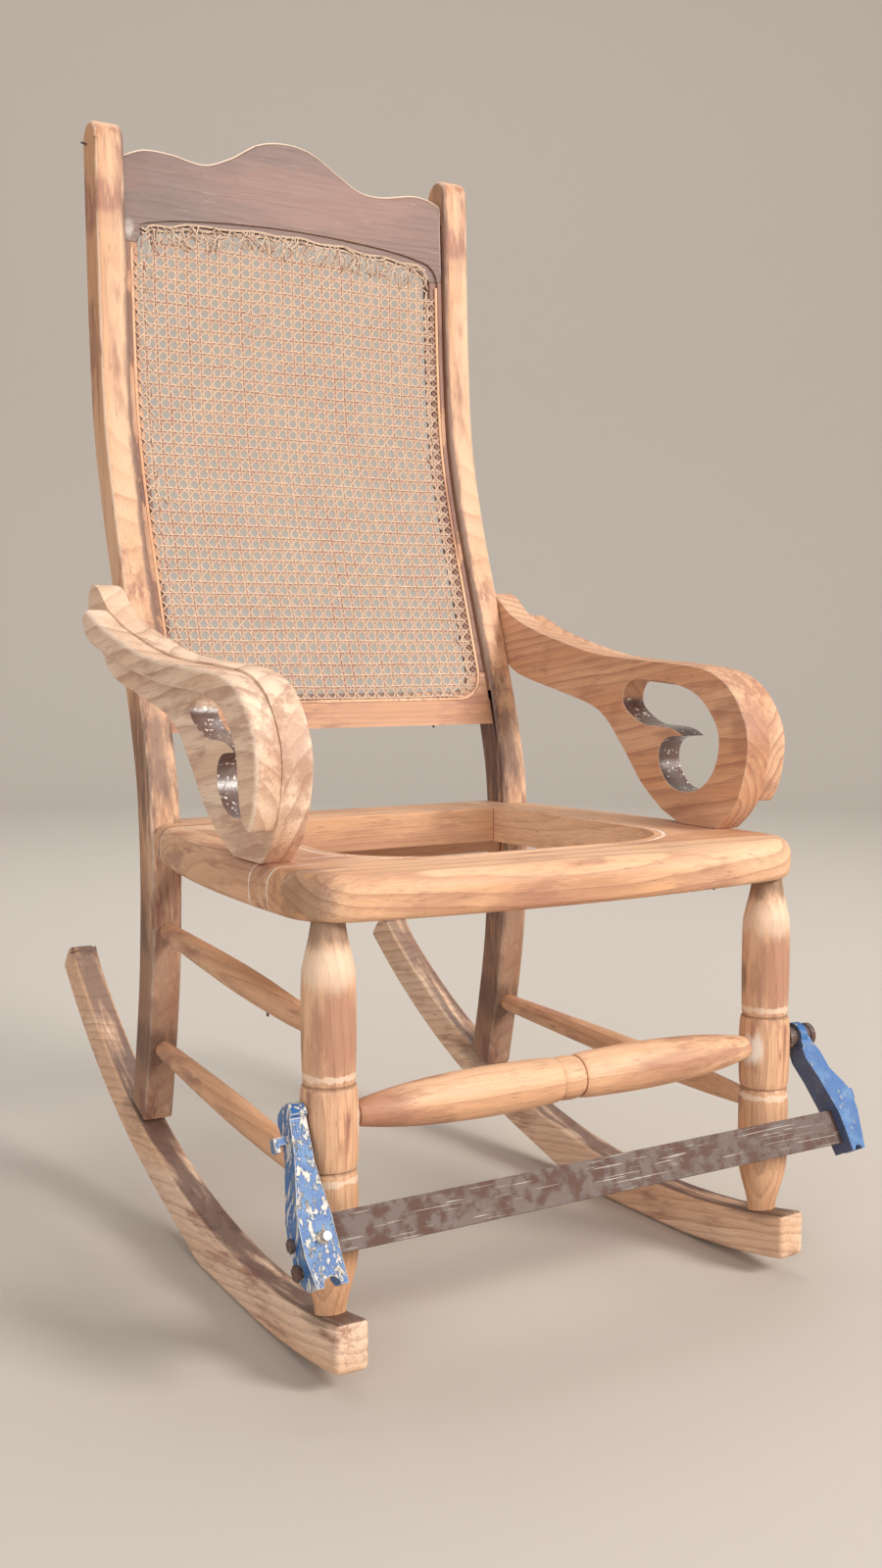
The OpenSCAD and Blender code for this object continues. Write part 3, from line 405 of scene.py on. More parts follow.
def wood(name, grain="Z", pith=(0.0, 0.05, 0.0), tilt=(0.0, 0.0, 0.0), spacing=0.0065,
         wander=0.02, contrast=0.5, red=0.5, warm=0.5, dark=0.0, bleach=0.0, flat=None, varnish=0.0,
         shine=0.0, crown=0.0, bore=None, spots=(), lines=()):
    """Stripped wood. pith moves the rings' middle off the piece's own; spots are (colour name,
    middle, reach, strength), lines (axis, place, half width, colour name, strength, side of X)
    and bore the (middle, reach) of a cut-out whose walls kept their varnish."""
    finish, tree, where = material(name)
    turn = tuple(a + b for a, b in zip(GRAIN_TURN[grain], tilt))
    aligned = add(tree, "ShaderNodeMapping", Vector=where, Rotation=turn, Location=pith).outputs[0]
    rings = use(tree, "Growth Rings", Vector=aligned, Spacing=spacing, Wander=wander)
    fibres = use(tree, "Wood Fibres", Vector=aligned)
    late = times(tree, rings["Late"], mul_add(tree, rings["Year"], 0.8, 0.3))
    colour = blend(tree, bleach, paint("pale"), paint("cream"))
    colour = lay(tree, colour, "amber", fibres["Drift"], warm)
    colour = lay(tree, colour, "ring", late, contrast)
    if flat:
        colour = lay(tree, colour, "cream", arris(tree, flat), 0.65)
    colour = lay(tree, colour, "flush", fibres["Patch"], red)
    if dark > 0:
        colour = lay(tree, colour, "flush", dark)
    if crown > 0:
        colour = varnished_top(tree, colour, where, crown)
    light = mul_add(tree, fibres["Streak"], 0.6, 0.68)
    shade = add(tree, "ShaderNodeCombineColor", i0=light, i1=light, i2=light).outputs[0]
    colour = blend(tree, 1.0, colour, shade, "MULTIPLY")
    colour = lay(tree, colour, "stain_and_shade", fibres["Pore"], 0.3)
    rough = mul_add(tree, fibres["Streak"], 0.25, 0.42)
    height = mul_add(tree, late, 0.4, times(tree, fibres["Streak"], 0.4))
    height = mul_add(tree, fibres["Drift"], 0.8, height)
    coat = 0.0
    if varnish > 0:
        colour, left = old_varnish(tree, colour, aligned, fibres, late, varnish)
        height = mul_add(tree, left, 0.5, height)
        if shine > 0:
            coat = times(tree, left, shine)
    for tone, middle, reach, strength in spots:
        mask = use(tree, "Stain Spot", Vector=where, Fibre=aligned, Centre=middle, Reach=reach,
                   Ragged=1.5)["Mask"]
        colour = lay(tree, colour, tone, mask, strength)
        if tone == "filler":
            height = mul_add(tree, mask, 0.6, height)
    if varnish > 0 and flat:
        colour = lay(tree, colour, "cream", arris(tree, flat), 0.75)
    for axis, place, half, tone, strength, side in lines:
        colour = lay(tree, colour, tone, seam(tree, where, axis, place, half, side), strength)
    if bore:
        colour, mask = varnished_walls(tree, colour, where, *bore)
        rough = mul_add(tree, mask, -0.3, rough)
        coat = times(tree, mask, 0.8)
    surface(tree, colour, rough, height, coat=coat, depth=0.0006)
    return finish


def filler(name):
    """White filler, dirty, and browner towards the seat's rear."""
    finish, tree, where = material(name)
    dirt = ramp(tree, cloud(tree, where, 60.0, 5.0, 0.6), 0.42, 0.6)
    rear = ramp(tree, axis_of(tree, where, "Y"), -0.16, -0.02, 0.15, 0.85)
    mask = sums(tree, "MAXIMUM", times(tree, dirt, 0.5), rear)
    colour = lay(tree, paint("filler"), "amber", mask)
    surface(tree, colour, 0.8, cloud(tree, where, 420.0, 3.0), depth=0.0008)
    return finish


def cane(name):
    """Split cane: pale towards the holes, reddish between the strands of a pair and darkened with
    painted shade where they meet, with painted shade on the strands' sides and backs.
    """
    finish, tree, where = material(name)
    across = axis_of(tree, add(tree, "ShaderNodeUVMap").outputs[0], "X")
    tint = add(tree, "ShaderNodeAttribute", {"attribute_name": "flush"}).outputs["Fac"]
    # Reddish tone towards the pair's crevice, partly painted shade
    inner = times(tree, ramp(tree, across, 0.2, 0.8, 1.0, 0.0), tint)
    patch = ramp(tree, cloud(tree, where, 24.0, 4.0, 0.6), 0.38, 0.62, 0.7, 1.0)
    colour = lay(tree, paint("straw"), "blush_and_shade", inner, patch)
    # Painted shade: a dark line along the edges where the strands of a pair meet
    pair_crevice_shade = times(tree, ramp(tree, across, 0.0, 0.3, 1.0, 0.0), tint)
    colour = lay(tree, colour, "varnish", pair_crevice_shade, 0.8)
    streak = cloud(tree, stretch(tree, where, 1.0, 1.0, 0.2), 700.0, 2.0)
    colour = lay(tree, colour, "flush", ramp(tree, streak, 0.5, 0.75, 0.0, 0.45))
    # Painted shade on the strands' sides and backs, which face away from the front
    colour = lay(tree, colour, "cane_back", ramp(tree, facing(tree, "Y"), -0.7, -0.1, 0.0, 0.85))
    surface(tree, colour, 0.5, streak, depth=0.0002)
    return finish


def bar_iron(name, white):
    """Brown iron with rust, scratches and so much rubbed-on white."""
    finish, tree, where = material(name)
    marks = use(tree, "Scratches", Vector=where)
    rust = ramp(tree, marks["Blotch"], 0.44, 0.62)
    colour = lay(tree, paint("iron"), "rust", rust)
    colour = lay(tree, colour, "rust", ramp(tree, marks["Pit"], 0.5, 0.75), 0.5)
    rubbed = cloud(tree, stretch(tree, where, 0.25, 1.0, 1.0), 90.0, 6.0, 0.75)
    colour = lay(tree, colour, "filler", ramp(tree, rubbed, 0.62, 0.72), white)
    colour = lay(tree, colour, "scratch", marks["Line"], 0.55)
    bare = times(tree, sums(tree, "SUBTRACT", 1.0, rust), 0.3)
    surface(tree, colour, mul_add(tree, rust, 0.25, 0.55), marks["Pit"], metallic=bare,
            depth=0.0003)
    return finish


def blue_enamel(name, inner):
    """Enamel chipped off a casting, with painted shade on the flank that faces inner along X."""
    finish, tree, where = material(name)
    marks = use(tree, "Scratches", Vector=where)
    left = use(tree, "Worn Coat", Vector=where, Cover=0.56 if inner > 0 else 0.72, Scale=210.0)
    bare = lay(tree, paint("chip"), "dull_chip", ramp(tree, marks["Blotch"], 0.5, 0.66))
    coat = lay(tree, paint("blue"), "pale_blue", ramp(tree, marks["Blotch"], 0.45, 0.7))
    colour = blend(tree, left["Mask"], bare, coat)
    rounded = add(tree, "ShaderNodeAttribute", {"attribute_name": "edge"}).outputs["Fac"]
    colour = lay(tree, colour, "worn_edge", rounded)
    # Painted shade on the flank that faces inner along X
    flank_shade = ramp(tree, times(tree, facing(tree, "X"), inner), 0.4, 0.9, 0.0, 0.8)
    colour = lay(tree, colour, "flank_shade", flank_shade, ramp(tree, marks["Blotch"], 0.3, 0.5, 1.0, 0.8))
    height = mul_add(tree, left["Mask"], 1.2, marks["Pit"])
    surface(tree, colour, mul_add(tree, left["Mask"], -0.25, 0.62), height)
    return finish


def brass(name):
    finish, tree, where = material(name)
    marks = use(tree, "Scratches", Vector=where)
    colour = lay(tree, paint("brass"), "tarnish", ramp(tree, marks["Blotch"], 0.45, 0.7))
    surface(tree, colour, 0.42, marks["Pit"], metallic=0.6, depth=0.0002)
    return finish


# ---------------------------------------------------------------- modelling
WELD = 0.00002          # CAD points this near are one
COARSE_WELD = 0.0016    # the same where a wide rounding needs long edges
BEAD_WELD = 0.0001      # the same in what is made here
FLAT_DEGREES = 1.0      # faces that turn less than this become one
SHARP_DEGREES = 38      # edges sharper than this are rounded
SMOOTH_DEGREES = 40     # faces that turn less than this are shaded as one
GLUE_REACH = 0.0004     # a point this near a glued plane lies in it
SHORT_EDGE = 0.0015     # edges shorter than this stay as they are where they would tear


def only(piece):
    """Selects one piece, and nothing else"""
    bpy.ops.object.select_all(action="DESELECT")
    piece.select_set(True)
    bpy.context.view_layer.objects.active = piece


def apply_modifier(piece, kind, **settings):
    only(piece)
    bpy.ops.object.modifier_add(type=kind)
    modifier = piece.modifiers[-1]
    for key, value in settings.items():
        setattr(modifier, key, value)
    bpy.ops.object.modifier_apply(modifier=modifier.name)


def smooth(piece, degrees=SMOOTH_DEGREES):
    only(piece)
    bpy.ops.object.shade_smooth_by_angle(angle=math.radians(degrees))


def clean(piece, weld=None, inside=None):
    """Welds the points of a mesh that are one, and turns its faces inwards or outwards"""
    only(piece)
    bpy.ops.object.mode_set(mode="EDIT")
    bpy.ops.mesh.select_all(action="SELECT")
    if weld is not None:
        bpy.ops.mesh.remove_doubles(threshold=weld)
    if inside is not None:
        bpy.ops.mesh.normals_make_consistent(inside=inside)
    bpy.ops.object.mode_set(mode="OBJECT")


def bare_copy(node, weld, whole):
    """A copy of a CAD node without its material and keys, its points welded; its flat faces
    stay as they are if it is kept whole"""
    only(NODES[node])
    bpy.ops.object.duplicate()
    piece = bpy.context.object
    piece.name = piece.data.name = node + "_worn"
    piece.parent = None
    piece.data.materials.clear()
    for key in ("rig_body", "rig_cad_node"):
        if key in piece:
            del piece[key]
    bpy.ops.object.mode_set(mode="EDIT")
    bpy.ops.mesh.select_all(action="SELECT")
    bpy.ops.mesh.customdata_custom_splitnormals_clear()
    bpy.ops.mesh.remove_doubles(threshold=weld)
    if not whole:
        bpy.ops.mesh.dissolve_limited(angle_limit=math.radians(FLAT_DEGREES))
    bpy.ops.object.mode_set(mode="OBJECT")
    return piece


def weigh_edges(piece, glued, weigh):
    """Marks the sharp edges to be rounded, each with its share of the width"""
    only(piece)
    bpy.ops.object.mode_set(mode="EDIT")
    bpy.ops.mesh.select_all(action="DESELECT")
    bpy.ops.mesh.select_mode(type="EDGE")
    bpy.ops.mesh.edges_select_sharp(sharpness=math.radians(SHARP_DEGREES))
    bpy.ops.object.mode_set(mode="OBJECT")
    weight = piece.data.attributes.new("bevel_weight_edge", "FLOAT", "EDGE")
    for edge in piece.data.edges:
        a, b = [piece.data.vertices[i].co for i in edge.vertices]
        lies_in = glued is not None and all(abs(abs(v.x) - glued) < GLUE_REACH for v in (a, b))
        short = weigh is not None and (a - b).length < SHORT_EDGE
        if edge.select and not lies_in and not short:
            weight.data[edge.index].value = weigh((a + b) / 2) if weigh else 1.0


def worn_copy(node, width, segments=3, glued=None, mark=False, weigh=None, weld=WELD):
    """A copy of a CAD node with its sharp edges rounded, all but those in the plane |x| = glued.
    weigh gives an edge's share of the width from its middle, and then a short edge doesn't hold
    back the others. With mark, the face attribute edge is 1 on what is rounded."""
    piece = bare_copy(node, weld, width == 0)
    if glued is not None:
        for vertex in piece.data.vertices:
            if abs(abs(vertex.co.x) - glued) < GLUE_REACH:
                vertex.co.x = math.copysign(glued, vertex.co.x)
    if width > 0:
        weigh_edges(piece, glued, weigh)
        for _ in range(2 if mark else 0):
            piece.data.materials.append(None)
        apply_modifier(piece, "BEVEL", width=width, segments=segments, limit_method="WEIGHT",
                       use_clamp_overlap=weigh is None, miter_outer="MITER_SHARP",
                       material=1 if mark else -1)
    if mark:
        edge = piece.data.attributes.new("edge", "FLOAT", "FACE")
        for polygon in piece.data.polygons:
            edge.data[polygon.index].value = float(polygon.material_index)
            polygon.material_index = 0
    smooth(piece)
    apply_modifier(piece, "WEIGHTED_NORMAL", keep_sharp=True)
    return piece


def settle(piece, finish, node, body="chair"):
    """Gives a piece its finish and its body, and hides the CAD node that it stands for"""
    piece.data.materials.clear()
    piece.data.materials.append(finish)
    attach(piece, body)
    if node:
        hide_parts(node)
    return piece


def centre(node):
    """The middle of a CAD node's box"""
    low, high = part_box(node)
    return (low + high) / 2


def mesh_piece(name, points, faces):
    """A new object from points and faces"""
    mesh = bpy.data.meshes.new(name)
    mesh.from_pydata(points, [], faces)
    piece = bpy.data.objects.new(name, mesh)
    bpy.context.scene.collection.objects.link(piece)
    return piece


# ---------------------------------------------------------------- the wooden frame
class FramePiece:
    """Makes worn copies of wooden nodes; each class below names its own."""

    bl_options = {"REGISTER"}

    def make(self, node, width, slot="pine", glued=None, weigh=None, weld=WELD, **look):
        piece = worn_copy(node, width, glued=glued, weigh=weigh, weld=weld)
        return settle(piece, wood(node + "_wood", **look), node)


def evenly(middle):
    """An edge's share of the rounding where all edges share alike"""
    return 1.0


class ROCKER_OT_rockers(bpy.types.Operator, FramePiece):
    """Rounds the two rockers"""

    bl_idname = "rocker.rockers"
    bl_label = "Rockers"

    def execute(self, context):
        for side, sign in (("left", -1), ("right", 1)):
            x = sign * LEG_X
            # Dark stain and painted shade where the leg and the post meet the rocker
            foot = ("stain_and_shade", (x, LEG_Y, 0.055), (0.035, 0.04, 0.02), 0.6)
            rear = ("stain_and_shade", (x * 0.92, LEG_Y + 0.44, 0.10), (0.03, 0.055, 0.035), 0.6)
            self.make(side + "_rocker", sizes().arris * 1.7, weigh=evenly, grain="Y",
                      pith=(-x, 0.09, 0.0), tilt=(0.2, 0.0, 0.1), spacing=0.009, wander=0.04,
                      contrast=0.6, red=0.8, warm=0.55, bleach=0.6, crown=0.85, spots=(foot, rear))
        return {"FINISHED"}


class ROCKER_OT_posts(bpy.types.Operator, FramePiece):
    """Rounds the two back posts"""

    bl_idname = "rocker.posts"
    bl_label = "Back posts"

    def execute(self, context):
        for side, sign in (("left", -1), ("right", 1)):
            x = sign * (POST_IN + POST_OUT) / 2
            y = centre(side + "_back_post").y
            inner = sign * POST_IN
            spots = (
                ("varnish", (inner, y, 0.70), (0.008, 0.16, 0.60), 0.75),
                ("varnish", (x, y, 0.20), (0.06, 0.20, 0.27), 0.6),
                ("varnish", (x - 0.004, y - 0.05, 0.45), (0.022, 0.06, 0.10), 0.7),
                # Dark stain and painted shade round the stretchers' sockets
                ("stain_and_shade", (x, y - 0.05, 0.29), (0.05, 0.035, 0.035), 0.6),
                ("stain_and_shade", (x, y - 0.05, 0.17), (0.05, 0.035, 0.035), 0.6),
                ("filler", (inner, y, 0.40), (0.02, 0.05, 0.012), 0.5))
            self.make(side + "_back_post", sizes().arris * 1.5, weigh=evenly,
                      pith=(-x + 0.03, 0.20, 0.0), tilt=(0.05, 0.01, 0.0), contrast=0.6,
                      red=0.9, warm=0.95, dark=0.06, flat="X", spots=spots)
        return {"FINISHED"}


class ROCKER_OT_legs(bpy.types.Operator, FramePiece):
    """Finishes the turned front legs and stretchers"""

    bl_idname = "rocker.turned"
    bl_label = "Turned legs and stretchers"

    def execute(self, context):
        for side, sign in (("left", -1), ("right", 1)):
            x = sign * LEG_X
            spots = (
                ("flush", (x, LEG_Y - 0.02, 0.275), (0.03, 0.03, 0.055), 0.7),
                ("cream", (x, LEG_Y, 0.325), (0.06, 0.06, 0.022), 0.5),
                # Dark stain and painted shade round the stretchers' sockets and at the leg's top
                # under the seat
                ("stain_and_shade", (x, LEG_Y + 0.02, 0.27), (0.05, 0.022, 0.022), 0.6),
                ("stain_and_shade", (x, LEG_Y + 0.02, 0.15), (0.05, 0.022, 0.022), 0.6),
                ("stain_and_shade", (x, LEG_Y, SEAT_UNDER - 0.004), (0.04, 0.04, 0.022), 0.65),
                ("filler", (x - sign * 0.02, LEG_Y - 0.006, 0.205), (0.010, 0.014, 0.018), 0.8))
            lines = (("Z", 0.233, 0.0018, "stain_and_shade", 0.4, 0), ("Z", 0.167, 0.0018, "stain_and_shade", 0.4, 0),
                     ("Z", 0.240, 0.0030, "cream", 0.6, 0), ("Z", 0.160, 0.0030, "cream", 0.6, 0))
            self.make(side + "_front_leg", 0.0, grain="Z", pith=(-x + 0.06, -LEG_Y + 0.05, 0.0),
                      tilt=(0.02, 0.03, 0.0), contrast=0.65, red=1.0, warm=1.0, dark=0.06,
                      spots=spots, lines=lines)
        self.make("front_stretcher", 0.0, grain="X", pith=(-0.2, -LEG_Y + 0.05, 0.0), contrast=0.45,
                  red=0.6, warm=0.7, spots=(
                      ("flush", (-0.19, LEG_Y, 0.205), (0.05, 0.04, 0.03), 0.7),
                      ("flush", (0.10, LEG_Y, 0.205), (0.07, 0.04, 0.02), 0.5)))
        for node in ("left_upper_side_stretcher", "left_lower_side_stretcher",
                     "right_lower_side_stretcher"):
            mid = centre(node)
            self.make(node, 0.0, grain="Y", pith=(-mid.x + 0.03, mid.z, 0.0), contrast=0.5,
                      red=0.9, warm=0.8, dark=0.1)
        return {"FINISHED"}


class ROCKER_OT_seat(bpy.types.Operator, FramePiece):
    """Rounds the seat's rails and blocks"""

    bl_idname = "rocker.seat"
    bl_label = "Seat frame"

    def execute(self, context):
        edge = sizes().arris
        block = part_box("seat_front_corner_block")
        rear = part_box("seat_left_rail")[1].y
        joints = [("Y", place, 0.0011, tone, 0.8, -1) for place, tone in (
            (block[0].y, "filler"), (block[1].y, "filler"), (rear, "filler"))]
        inside = ("flush", (0, 0.03, SEAT_UNDER), (0.16, 0.012, 0.03), 0.5)
        # Painted shade under the seat, towards its middle
        shade = ("stain_and_shade", (0, LEG_Y + 0.2, SEAT_UNDER + 0.01), (0.17, 0.19, 0.012), 0.35)
        arm_foot = [("flush", (s * ARM_IN, LEG_Y + 0.09, SEAT_TOP), (0.07, 0.08, 0.03), 0.4)
                    for s in (-1, 1)]
        nose = [("flush", (x, LEG_Y - 0.045, SEAT_UNDER + 0.012), (reach, 0.03, 0.012), 0.4)
                for x, reach in ((-0.15, 0.05), (-0.02, 0.08), (0.12, 0.06))]
        # Dark stain and painted shade under the seat's front at the left
        left_nose = ("stain_and_shade", (-0.235, LEG_Y + 0.005, SEAT_UNDER + 0.02), (0.03, 0.04, 0.03), 0.5)
        self.make("seat_front_rail", 0.0, grain="X", pith=(-0.30, -0.02, 0.0), spacing=0.009,
                  contrast=0.7, red=0.6, warm=1.0,
                  spots=arm_foot + nose + [left_nose], lines=joints)
        self.make("seat_left_rail", edge * 0.5, grain="Y", pith=(0.18, 0.40, 0.0), contrast=0.5,
                  red=0.6, warm=0.7, bleach=0.4, spots=arm_foot + [shade], lines=joints)
        self.make("seat_right_rail", edge * 0.5, grain="Y", pith=(-0.14, 0.40, 0.0), contrast=0.4,
                  red=0.5, warm=0.6, spots=arm_foot + [shade])
        self.make("seat_back_rail", edge * 0.5, grain="X", pith=(-0.40, 0.04, 0.0), contrast=0.4,
                  red=0.5, warm=0.7, spots=[inside])
        self.make("seat_front_corner_block", edge * 0.3, grain="X", pith=(-0.36, 0.25, 0.0),
                  contrast=0.5, red=0.7, warm=0.8, dark=0.12, spots=arm_foot[:1], lines=joints)
        self.make("seat_rear_corner_block", edge * 0.3, grain="X", pith=(-0.40, 0.1, 0.0),
                  contrast=0.5, red=0.9, warm=0.8, dark=0.15, lines=joints)
        self.make("seat_under_rail", edge, grain="X", pith=(-0.30, 0.02, 0.0), contrast=0.5,
                  red=0.9, dark=0.4)
        return {"FINISHED"}


class ROCKER_OT_filler(bpy.types.Operator):
    """Fills the groove that held the seat's lost cane"""

    bl_idname = "rocker.filler"
    bl_label = "Filler in the seat's groove"
    groove_depth = 0.0025
    fill = 0.0021

    def execute(self, context):
        points = []
        faces = []
        floor = SEAT_TOP - self.groove_depth
        for node in ("seat_front_rail", "seat_left_rail", "seat_right_rail", "seat_back_rail",
                     "seat_front_corner_block", "seat_rear_corner_block"):
            mesh = NODES[node].data
            for polygon in mesh.polygons:
                corners = [mesh.vertices[i].co for i in polygon.vertices]
                if all(abs(corner.z - floor) < 0.0001 for corner in corners):
                    first = len(points)
                    points += [corner + Vector((0, 0, self.fill)) for corner in corners]
                    faces.append(tuple(range(first, len(points))))
        bead = mesh_piece("seat_groove_filler", points, faces)
        clean(bead, weld=BEAD_WELD)
        apply_modifier(bead, "SOLIDIFY", thickness=0.0018, offset=-1.0)
        settle(bead, filler("groove_filler"), None)
        return {"FINISHED"}


class ROCKER_OT_back(bpy.types.Operator, FramePiece):
    """Rounds the caned back's crest, stiles and bottom rail"""

    bl_idname = "rocker.back"
    bl_label = "Back frame"

    def execute(self, context):
        edge = sizes().arris
        low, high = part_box("crest_rail")
        spots = (("filler", (high.x - 0.012, low.y, 1.03), (0.003, 0.05, 0.05), 0.8),
                 ("filler", (low.x + 0.016, low.y, 0.99), (0.008, 0.05, 0.012), 0.6),
                 ("bloom", (low.x + 0.05, low.y, 1.0), (0.06, 0.05, 0.05), 0.5),
                 ("varnish", (0.05, low.y, 1.03), (0.34, 0.08, 0.16), 0.5),
                 ("flush", (0.03, low.y, 1.05), (0.17, 0.05, 0.045), 0.3))
        # The crest's lower edges, where the cane's groove runs, are hardly worn
        self.make("crest_rail", edge * 1.25, slot="stained_pine", weld=COARSE_WELD,
                  weigh=lambda middle: 1.0 if middle.z > CREST_LOW + 0.07 else 0.1,
                  grain="X", pith=(-1.02, -0.10, 0.0),
                  contrast=0.8, red=1.0, warm=0.9, dark=0.45, flat="Y", varnish=0.9, shine=0.2,
                  spots=spots)
        for side, sign in (("left", -1), ("right", 1)):
            x = centre("back_" + side + "_stile").x
            self.make("back_" + side + "_stile", edge * 0.5, slot="stained_pine", grain="Z",
                      contrast=0.4, red=0.9, dark=0.2, varnish=0.45 if sign < 0 else 0.65,
                      pith=(-x, 0.08, 0.0))
        spots = (("varnish", (0.0, 0.09, 0.516), (0.19, 0.03, 0.006), 0.7),)
        self.make("back_bottom_rail", edge, grain="X", pith=(-0.50, -0.06, 0.0), contrast=0.4,
                  red=0.8, warm=1.0, dark=0.3, flat="Y", spots=spots)
        return {"FINISHED"}


class ROCKER_OT_arms(bpy.types.Operator, FramePiece):
    """Rounds the arms and their cheeks, and finishes their dowels"""

    bl_idname = "rocker.arms"
    bl_label = "Arms"

    def execute(self, context):
        edge = sizes().arris * 1.8
        for side, sign in (("left", -1), ("right", 1)):
            x = sign * (ARM_IN + ARM_OUT) / 2
            hole = ((x, LEG_Y + 0.134, SEAT_TOP + 0.086), (0.12, 0.092, 0.064))
            foot = ("flush", (x, LEG_Y + 0.10, SEAT_TOP), (0.06, 0.05, 0.04), 0.3)
            front = ("flush", (x, LEG_Y + 0.035, SEAT_TOP + 0.09), (0.03, 0.02, 0.04), 0.5)
            look = dict(grain="Y", wander=0.03, flat="X", tilt=(0.15, 0.0, 0.0), bore=hole,
                        spots=(foot, front))
            if side == "left":
                patches = [
                    ("flush", (x + away, LEG_Y + 0.04, SEAT_TOP + up), (0.012, 0.03, 0.03), 0.4)
                    for away, up in ((-0.012, 0.08), (0.006, 0.07), (0.016, 0.03))]
                look.update(spacing=0.014, contrast=0.65, red=0.5, warm=0.45, bleach=0.8,
                            spots=[foot, front] + patches)
            else:
                look.update(spacing=0.0085, contrast=0.95, red=0.6, warm=1.0, dark=0.22)
            glued = max(abs(corner.x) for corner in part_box(side + "_arm"))

            self.make(side + "_arm", edge, glued=glued,
                      pith=(-x + 0.12 * sign, 0.33, 0.0), **look)
            self.make(side + "_arm_cheek", edge, glued=glued,
                      pith=(-x - 0.14 * sign, 0.33, 0.0), **look)
        for node in ("arm_post_dowels", "arm_foot_dowels"):
            self.make(node, 0.0, grain="Z")
        return {"FINISHED"}


# ---------------------------------------------------------------- woven cane
def panel_curve():
    """(height, y) of the cane's front face, from its CAD solid"""
    fronts = {}
    for vertex in NODES["cane_panel"].data.vertices:
        z = round(vertex.co.z, 3)
        fronts[z] = min(fronts.get(z, 9.0), vertex.co.y)
    return sorted(fronts.items())


PANEL = panel_curve()


def panel_y(z):
    """Where the cane's front face lies at a height"""
    for (z0, y0), (z1, y1) in zip(PANEL, PANEL[1:]):
        if z <= z1:
            t = max(0.0, (z - z0) / (z1 - z0))
            return y0 + (y1 - y0) * t
    return PANEL[-1][1]


def on_panel(x, z):
    """Whether the CAD sheet covers this place"""
    hit = NODES["cane_panel"].ray_cast(Vector((x, panel_y(z) - 0.05, z)), Vector((0, 1, 0)))
    return hit[0]


# Where the weave has slipped most: x, z, reach and pull
WEAK_PLACES = ((-0.045, 0.905, 0.035, 0.0042), (-0.085, 0.86, 0.03, 0.003),
               (0.06, 0.70, 0.03, 0.002))


def slack(x, z):
    """How far the weave has slipped there: a little everywhere, more at the weak places"""
    push = noise.noise_vector(Vector((x * 22, z * 22, 3.1))) * 0.0009
    push += noise.noise_vector(Vector((x * 90, z * 90, 7.7))) * 0.0004
    for cx, cz, reach, pull in WEAK_PLACES:
        far = math.hypot(x - cx, z - cz) / reach
        if far < 1:
            swirl = noise.noise_vector(Vector((x * 60 + cx, z * 60, 1.3)))
            push += swirl * pull * (1 - far * far)
    return push.x, push.z


class Ribbons:
    """Gathers flat strands into one mesh."""

    def __init__(self):
        self.points = []
        self.faces = []
        self.runs = []
        self.flush = []

    def add(self, path, width, tint, turned=False, front=Vector((0, -1, 0))):
        """A strand along path, with an edge on each side, a crown in front and one behind"""
        if len(path) < 2:
            return
        first = len(self.points)
        run = 0.0
        for i, point in enumerate(path):
            ahead = path[min(i + 1, len(path) - 1)]
            behind = path[max(i - 1, 0)]
            along = (ahead - behind).normalized()
            across = along.cross(front).normalized() * (width / 2)
            if turned:
                across = -across
            if i:
                run += (point - path[i - 1]).length
            self.points += [point - across, point + front * (width * 0.36), point + across,
                            point - front * (width * 0.75)]
            self.flush += [tint] * 4
            self.runs.append(run)
        for i in range(len(path) - 1):
            a = first + 4 * i
            for j in range(4):
                k = (j + 1) % 4
                self.faces.append((a + j, a + k, a + 4 + k, a + 4 + j))
        last = first + 4 * (len(path) - 1)
        self.faces += [(first, first + 1, first + 2, first + 3),
                       (last + 3, last + 2, last + 1, last)]

    def build(self, name):
        piece = mesh_piece(name, self.points, self.faces)
        mesh = piece.data
        layer = mesh.uv_layers.new(name="Strand")
        for loop in mesh.loops:
            index = loop.vertex_index
            layer.data[loop.index].uv = ((0, 0.5, 1, 0.5)[index % 4], self.runs[index // 4] * 100)
        tint = mesh.attributes.new("flush", "FLOAT", "POINT")
        tint.data.foreach_set("value", self.flush)
        clean(piece, inside=False)
        smooth(piece, 50)
        return piece


SHEET_GAP = 0.0009      # from the CAD sheet's front to the middle of the weave
PAIR_HALF = 0.085       # half the gap between the strands of a pair, in pitches
WEAVE_SEED = 1795167924     # for the slack; noise vectors follow the clock without one


def strand_runs(start, step, count, lift):
    """The stretches of a straight strand that lie on the sheet, as lists of points"""
    runs = [[]]
    for i in range(count):
        x = start[0] + step[0] * i
        z = start[1] + step[1] * i
        if on_panel(x, z):
            dx, dz = slack(x, z)
            runs[-1].append(Vector((x + dx, panel_y(z) + SHEET_GAP - lift(x, z), z + dz)))
        elif runs[-1]:
            runs.append([])
    return [run for run in runs if len(run) > 1]


